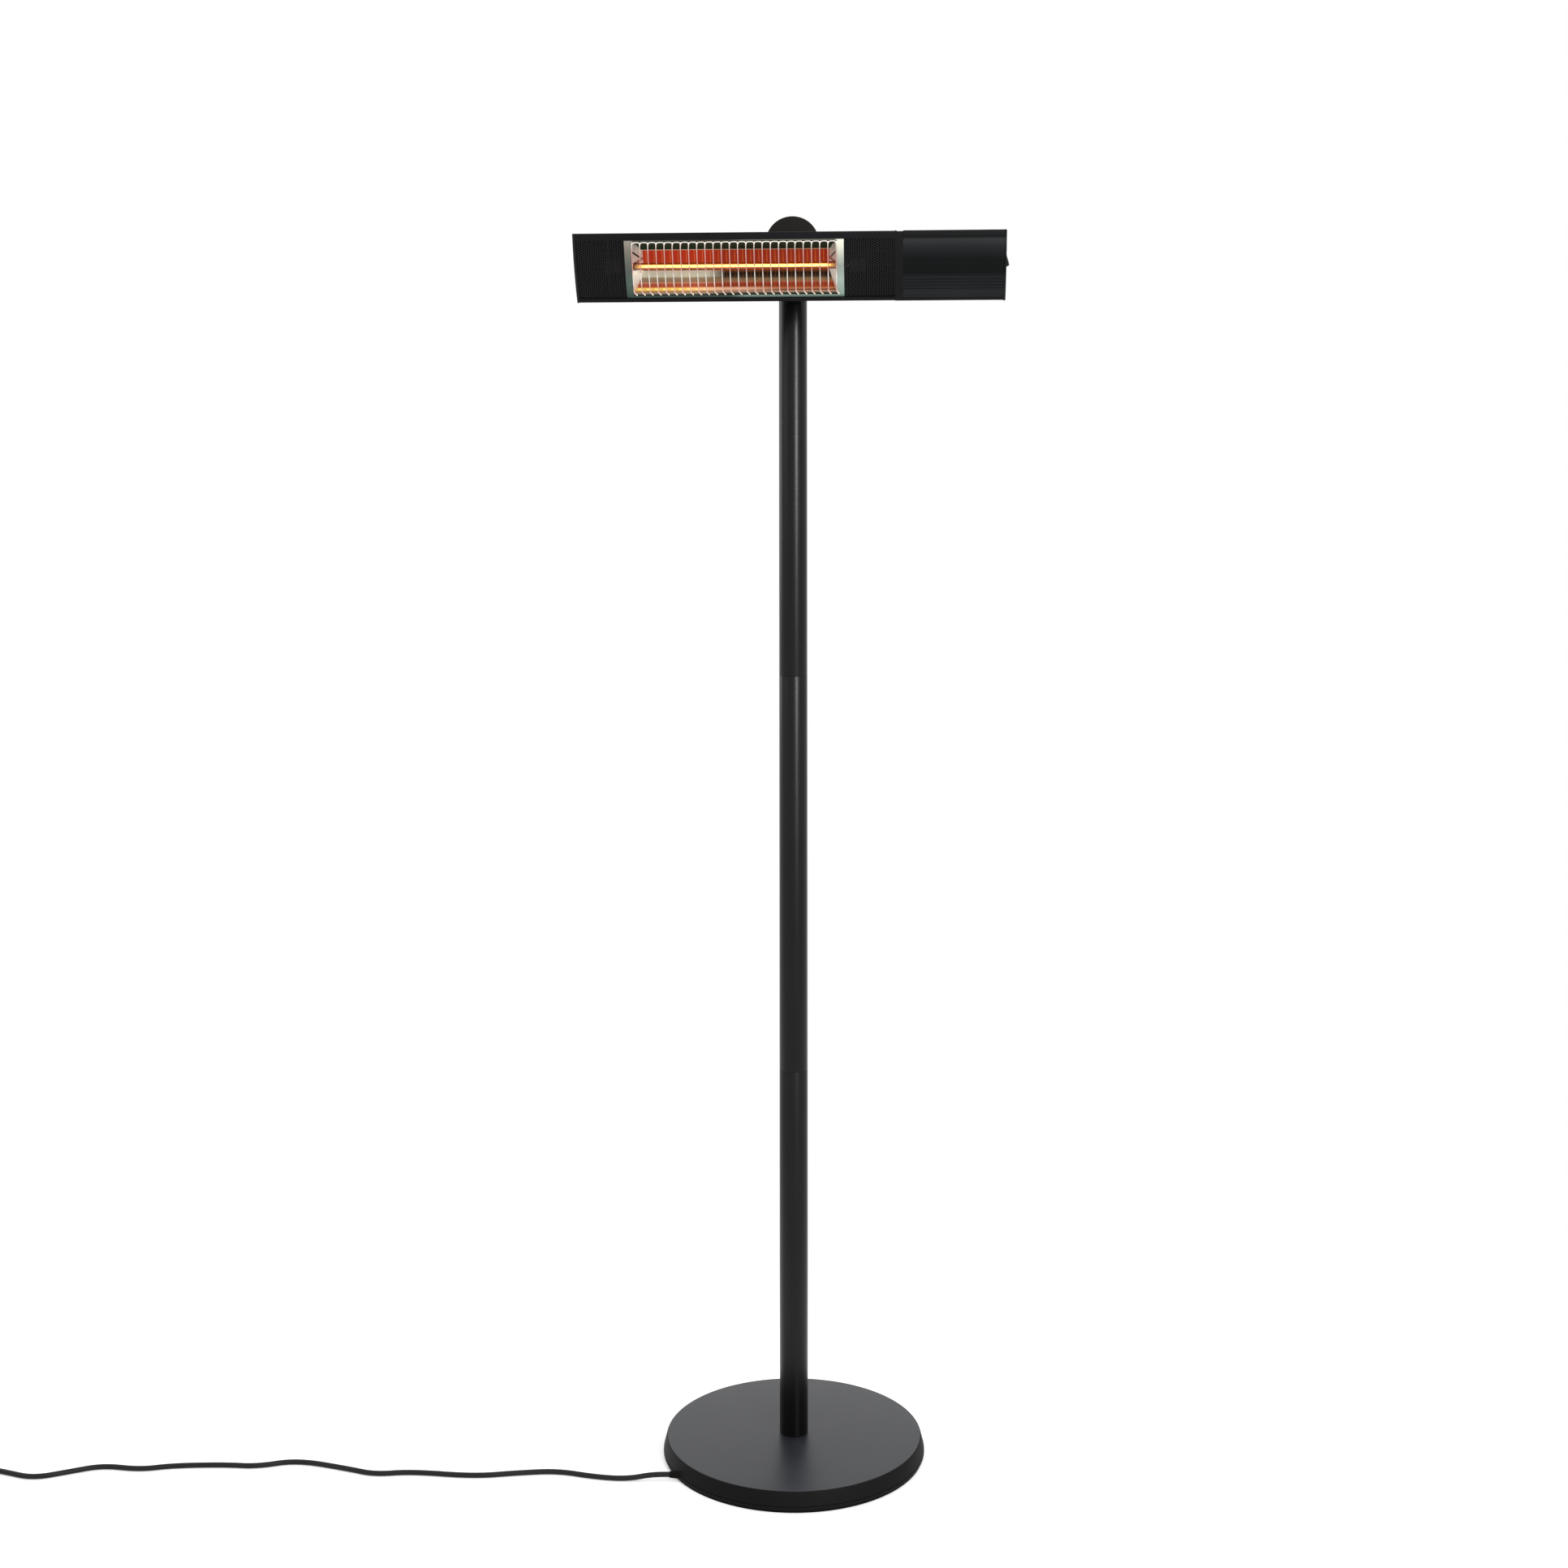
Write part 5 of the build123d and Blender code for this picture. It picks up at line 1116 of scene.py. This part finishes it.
def guard_bend(x, start, corner, end, steps=6):
    """A bend by three places, each a shift from the wire's x, a y and a z."""
    places = [Vector((x + shift, y, z)) for shift, y, z in (start, corner, end)]
    return soft_bend(*places, steps)


def guard_wire(x):
    """One upright wire, leaning a little to the right where it meets the top."""
    top = guard_bend(x, (0.0012, RAIL_Y, RAIL_Z), (0.001, crown_y(GUARD_HALF), GUARD_HALF),
                     (0.0002, guard_y(SHOULDER), SHOULDER), steps=5)
    heights = [SHOULDER * (1 - k / 7) for k in range(1, 15)]
    return guard_bar(top + [Vector((x, guard_y(z), z)) for z in heights], GUARD_WIRE)


def guard_arch(x):
    """The bar across one gap, bent down into the wires at both ends."""
    y, high, low = RAIL_Y, RAIL_Z + 0.0002, RAIL_Z - ARCH_DROP
    left_leg = guard_bend(x, (0.0002, y + 0.0004, low), (0.0006, y, high), (0.0042, y, high))
    right_leg = guard_bend(x, (0.0084, y, high), (0.0112, y, RAIL_Z), (0.0112, y + 0.0004, low))
    return guard_bar(left_leg + right_leg, ARCH_WIRE)


def guard_foot(x):
    """The short foot that slants off to the right at the bottom."""
    path = guard_bend(x, (0, guard_y(-SHOULDER), -SHOULDER + 0.0004),
                      (0.0004, RAIL_Y, -GUARD_HALF + 0.0008),
                      (0.0036, RAIL_Y + 0.0002, -GUARD_HALF - 0.0021))
    return guard_bar(path, FOOT_WIRE)


def make_guard():
    first = (INNER_LEFT + INNER_RIGHT - GUARD_PITCH * (GUARD_WIRES - 1)) / 2
    places = [first + GUARD_PITCH * i for i in range(GUARD_WIRES)]
    wires = [guard_wire(x) for x in places]
    ends = [guard_arch(x) for x in places[:-1]] + [guard_foot(x) for x in places]
    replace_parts(joined("wire_guard_fine", wires, HEAD), "wire_guard")
    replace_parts(joined("wire_guard_ends", ends, HEAD), "wire_guard")


# ---- smaller parts

SMALL_PARTS = {
    (HEAD, BLACK_PLASTIC): {"end_cap_left": 0.0005, "switch_body": 0.0003, "head_gland": 0.0004},
    # The right end cap takes the cover's painted highlight and shade bands too.
    (HEAD, COVER_PLASTIC): {"end_cap_right": 0.0005},
    # The inner steel and the tube caps are darkened as painted shade.
    (HEAD, DARK_STEEL): {
        "end_cap_screws": 0.0003, "tube_bracket_left": 0.0001, "tube_bracket_right": 0.0001,
    },
    (HEAD, CAP_CERAMIC): {"tube_cap_left": 0.0004, "tube_cap_right": 0.0004},
    (HEAD, CERAMIC): {"terminal_block": 0.0003},
    (HEAD, STEEL): {"terminal_screws": 0.0002, "lug_screws": 0.0003},
    (HEAD, COAT): {"tilt_lug": 0.0005},
    (ROCKER, BLACK_PLASTIC): {"switch_rocker": 0.0005},
    (KNOB, BLACK_PLASTIC): {"tilt_knob": 0.0005},
    (STAND, COAT): {"tilt_fork": 0.0005},
    (STAND, STEEL): {"fork_screws": 0.0003, "tilt_bolt": 0.0003, "knob_washer": 0.0002},
    (STAND, RUBBER): {"lead_bush": 0.0004},
}
HIDDEN_LOOKS = {
    "base_weight": IRON, "base_plate": STEEL, "plate_screws": STEEL, "pole_hub": STEEL,
    "hub_screws": STEEL, "joint_sleeve_lower": STEEL, "joint_sleeve_upper": STEEL,
    "inner_lead": CORD_SKIN, "inner_wires": WIRE_SKIN,
}


def dress_hidden():
    """The inner pieces keep their own shape and get their materials."""
    for name, material in HIDDEN_LOOKS.items():
        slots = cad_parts[name].data.materials
        slots.clear()
        slots.append(material)


def make_head():
    make_housing()
    make_collar()
    make_control_cover()
    mesh_panel("mesh_left_fine", "mesh_panel_left", HEAD_LEFT, WINDOW_LEFT - GAP)
    mesh_panel("mesh_right_fine", "mesh_panel_right", WINDOW_RIGHT + GAP, COLLAR_LEFT)
    make_window_frame()
    make_reflector()
    end_plate("reflector_end_left", INNER_LEFT, -1)
    end_plate("reflector_end_right", INNER_RIGHT, 1)
    make_heater()
    make_guard()
    for (body, material), edges in SMALL_PARTS.items():
        for node, width in edges.items():
            refined(node, body, material, width)
    dress_hidden()


# ---- mains cord

FLOOR_ROUTE = [
    (-0.224, -0.106), (-0.271, -0.102), (-0.322, -0.088), (-0.376, -0.096), (-0.436, -0.11),
    (-0.526, -0.101), (-0.574, -0.112), (-0.614, -0.098), (-0.694, -0.076), (-0.744, -0.098),
    (-0.789, -0.095), (-0.863, -0.102), (-0.904, -0.116), (-0.959, -0.107), (-0.998, -0.127),
    (-1.041, -0.149), (-1.086, -0.134), (-1.124, -0.123), (-1.158, -0.121),
]
CORD_ROUTE = [CORD_EXIT, (-0.188, -0.099, 0.008)] + [(x, y, CORD_RADIUS) for x, y in FLOOR_ROUTE]
COIL_MIDDLE = Vector(CORD_ROUTE[-1]) + Vector((-2 * CORD_RADIUS, -COIL_OUTER, 0))


def coil_points():
    """The wound rest: in towards the middle on the floor, up one layer, out again and off to the plug.

    In the coil's own frame the cord comes in along +y at x = COIL_OUTER."""
    widen = 1 / cos(pi / ARC_POINTS / 2)
    at = Vector((COIL_OUTER, 0, 0))
    points = []
    for i in range(2 * HALF_TURNS):
        climb = COIL_RISE if i == HALF_TURNS else 0
        span = COIL_OUTER - COIL_STEP / 2 * (HALF_TURNS - abs(HALF_TURNS - i))
        reach = span if i % 2 else -span
        for k in range(ARC_POINTS):
            share = (k + 0.5) / ARC_POINTS
            across, rise = on_circle(reach * widen, share / 2)
            points.append(Vector((at.x + reach - across, at.y - rise, at.z + climb * share)))
        at = at + Vector((2 * reach, 0, climb))
    return points, at


def make_cord():
    curve = bpy.data.curves.new("mains_cord", "CURVE")
    curve.dimensions = "3D"
    curve.bevel_depth = CORD_RADIUS
    curve.bevel_resolution = 5
    curve.use_fill_caps = True
    turns, end = coil_points()
    lift = PLUG_Z - CORD_RADIUS - COIL_RISE
    risen = TAIL_FLAT + TAIL_RISE
    tail = [(TAIL_FLAT / 2, 0), (TAIL_FLAT, 0), (risen, lift), (risen + TAIL_FLAT, lift)]
    wound = turns + [end + Vector((0, forward, rise)) for forward, rise in tail]
    route = CORD_ROUTE + [COIL_MIDDLE + Vector((-p.y, p.x, p.z)) for p in wound]
    spline = curve.splines.new("NURBS")
    spline.points.add(len(route) - 1)
    for point, at in zip(spline.points, route):
        point.co = (*at, 1)
    spline.order_u = 3
    spline.use_endpoint_u = True
    spline.resolution_u = 6
    cord = placed("mains_cord", curve)
    curve.materials.append(CORD_SKIN)
    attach(cord, STAND)
    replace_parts(cord, "cord_lead", "cord_coil")
    return cord


def make_tie():
    """The flat strap that holds the coil's turns together, closed by a small square head."""
    outer = COIL_OUTER + CORD_RADIUS + TIE_PLAY
    inner = COIL_OUTER - HALF_TURNS * COIL_STEP / 2 - CORD_RADIUS + TIE_PLAY
    high = 2 * CORD_RADIUS + COIL_RISE + TIE_PLAY
    points = []
    for sheet, radius, side in ((0, TIE_ROUNDS[0], -1), (TIE_SHEET, TIE_ROUNDS[1], 1)):
        rounds = [radius] * 4
        loop = ring_section(inner + sheet, outer - sheet, TIE_LOW + sheet, high - sheet, rounds, 6)
        width = side * TIE_HALF_WIDTH
        points += [(r, across, z) for across in (width, -width) for r, z in loop]
    faces = ring_faces(4, len(points) // 4, True)
    place = Matrix.Translation((COIL_MIDDLE.x, COIL_MIDDLE.y, 0)) @ turn(TIE_TURN, "Z")
    band = add_skin("tie_band", points, faces, None, TIE_PLASTIC, place)
    box = ring_section(outer - TIE_HEAD_IN, outer + TIE_HEAD_OUT, high - TIE_HEAD_LOW, high - TIE_HEAD_HIGH)
    head = prism("tie_head", box, -TIE_HEAD_HALF, TIE_HEAD_HALF, None, TIE_PLASTIC, place @ turn(-90, "Z"))
    joined("coil_tie", [band, head], STAND)


def make_cord_set():
    make_tie()
    cord = make_cord()
    refined("cord_grommet", STAND, RUBBER, 0.0003)
    plug = refined("plug_body", STAND, BLACK_PLASTIC, 0.0012)
    pins = refined("plug_pins", STAND, BRASS, 0.0004)


# ---- finish

def main():
    make_stage()
    make_base()
    make_poles()
    make_top_fitting()
    make_head()
    make_cord_set()


main()
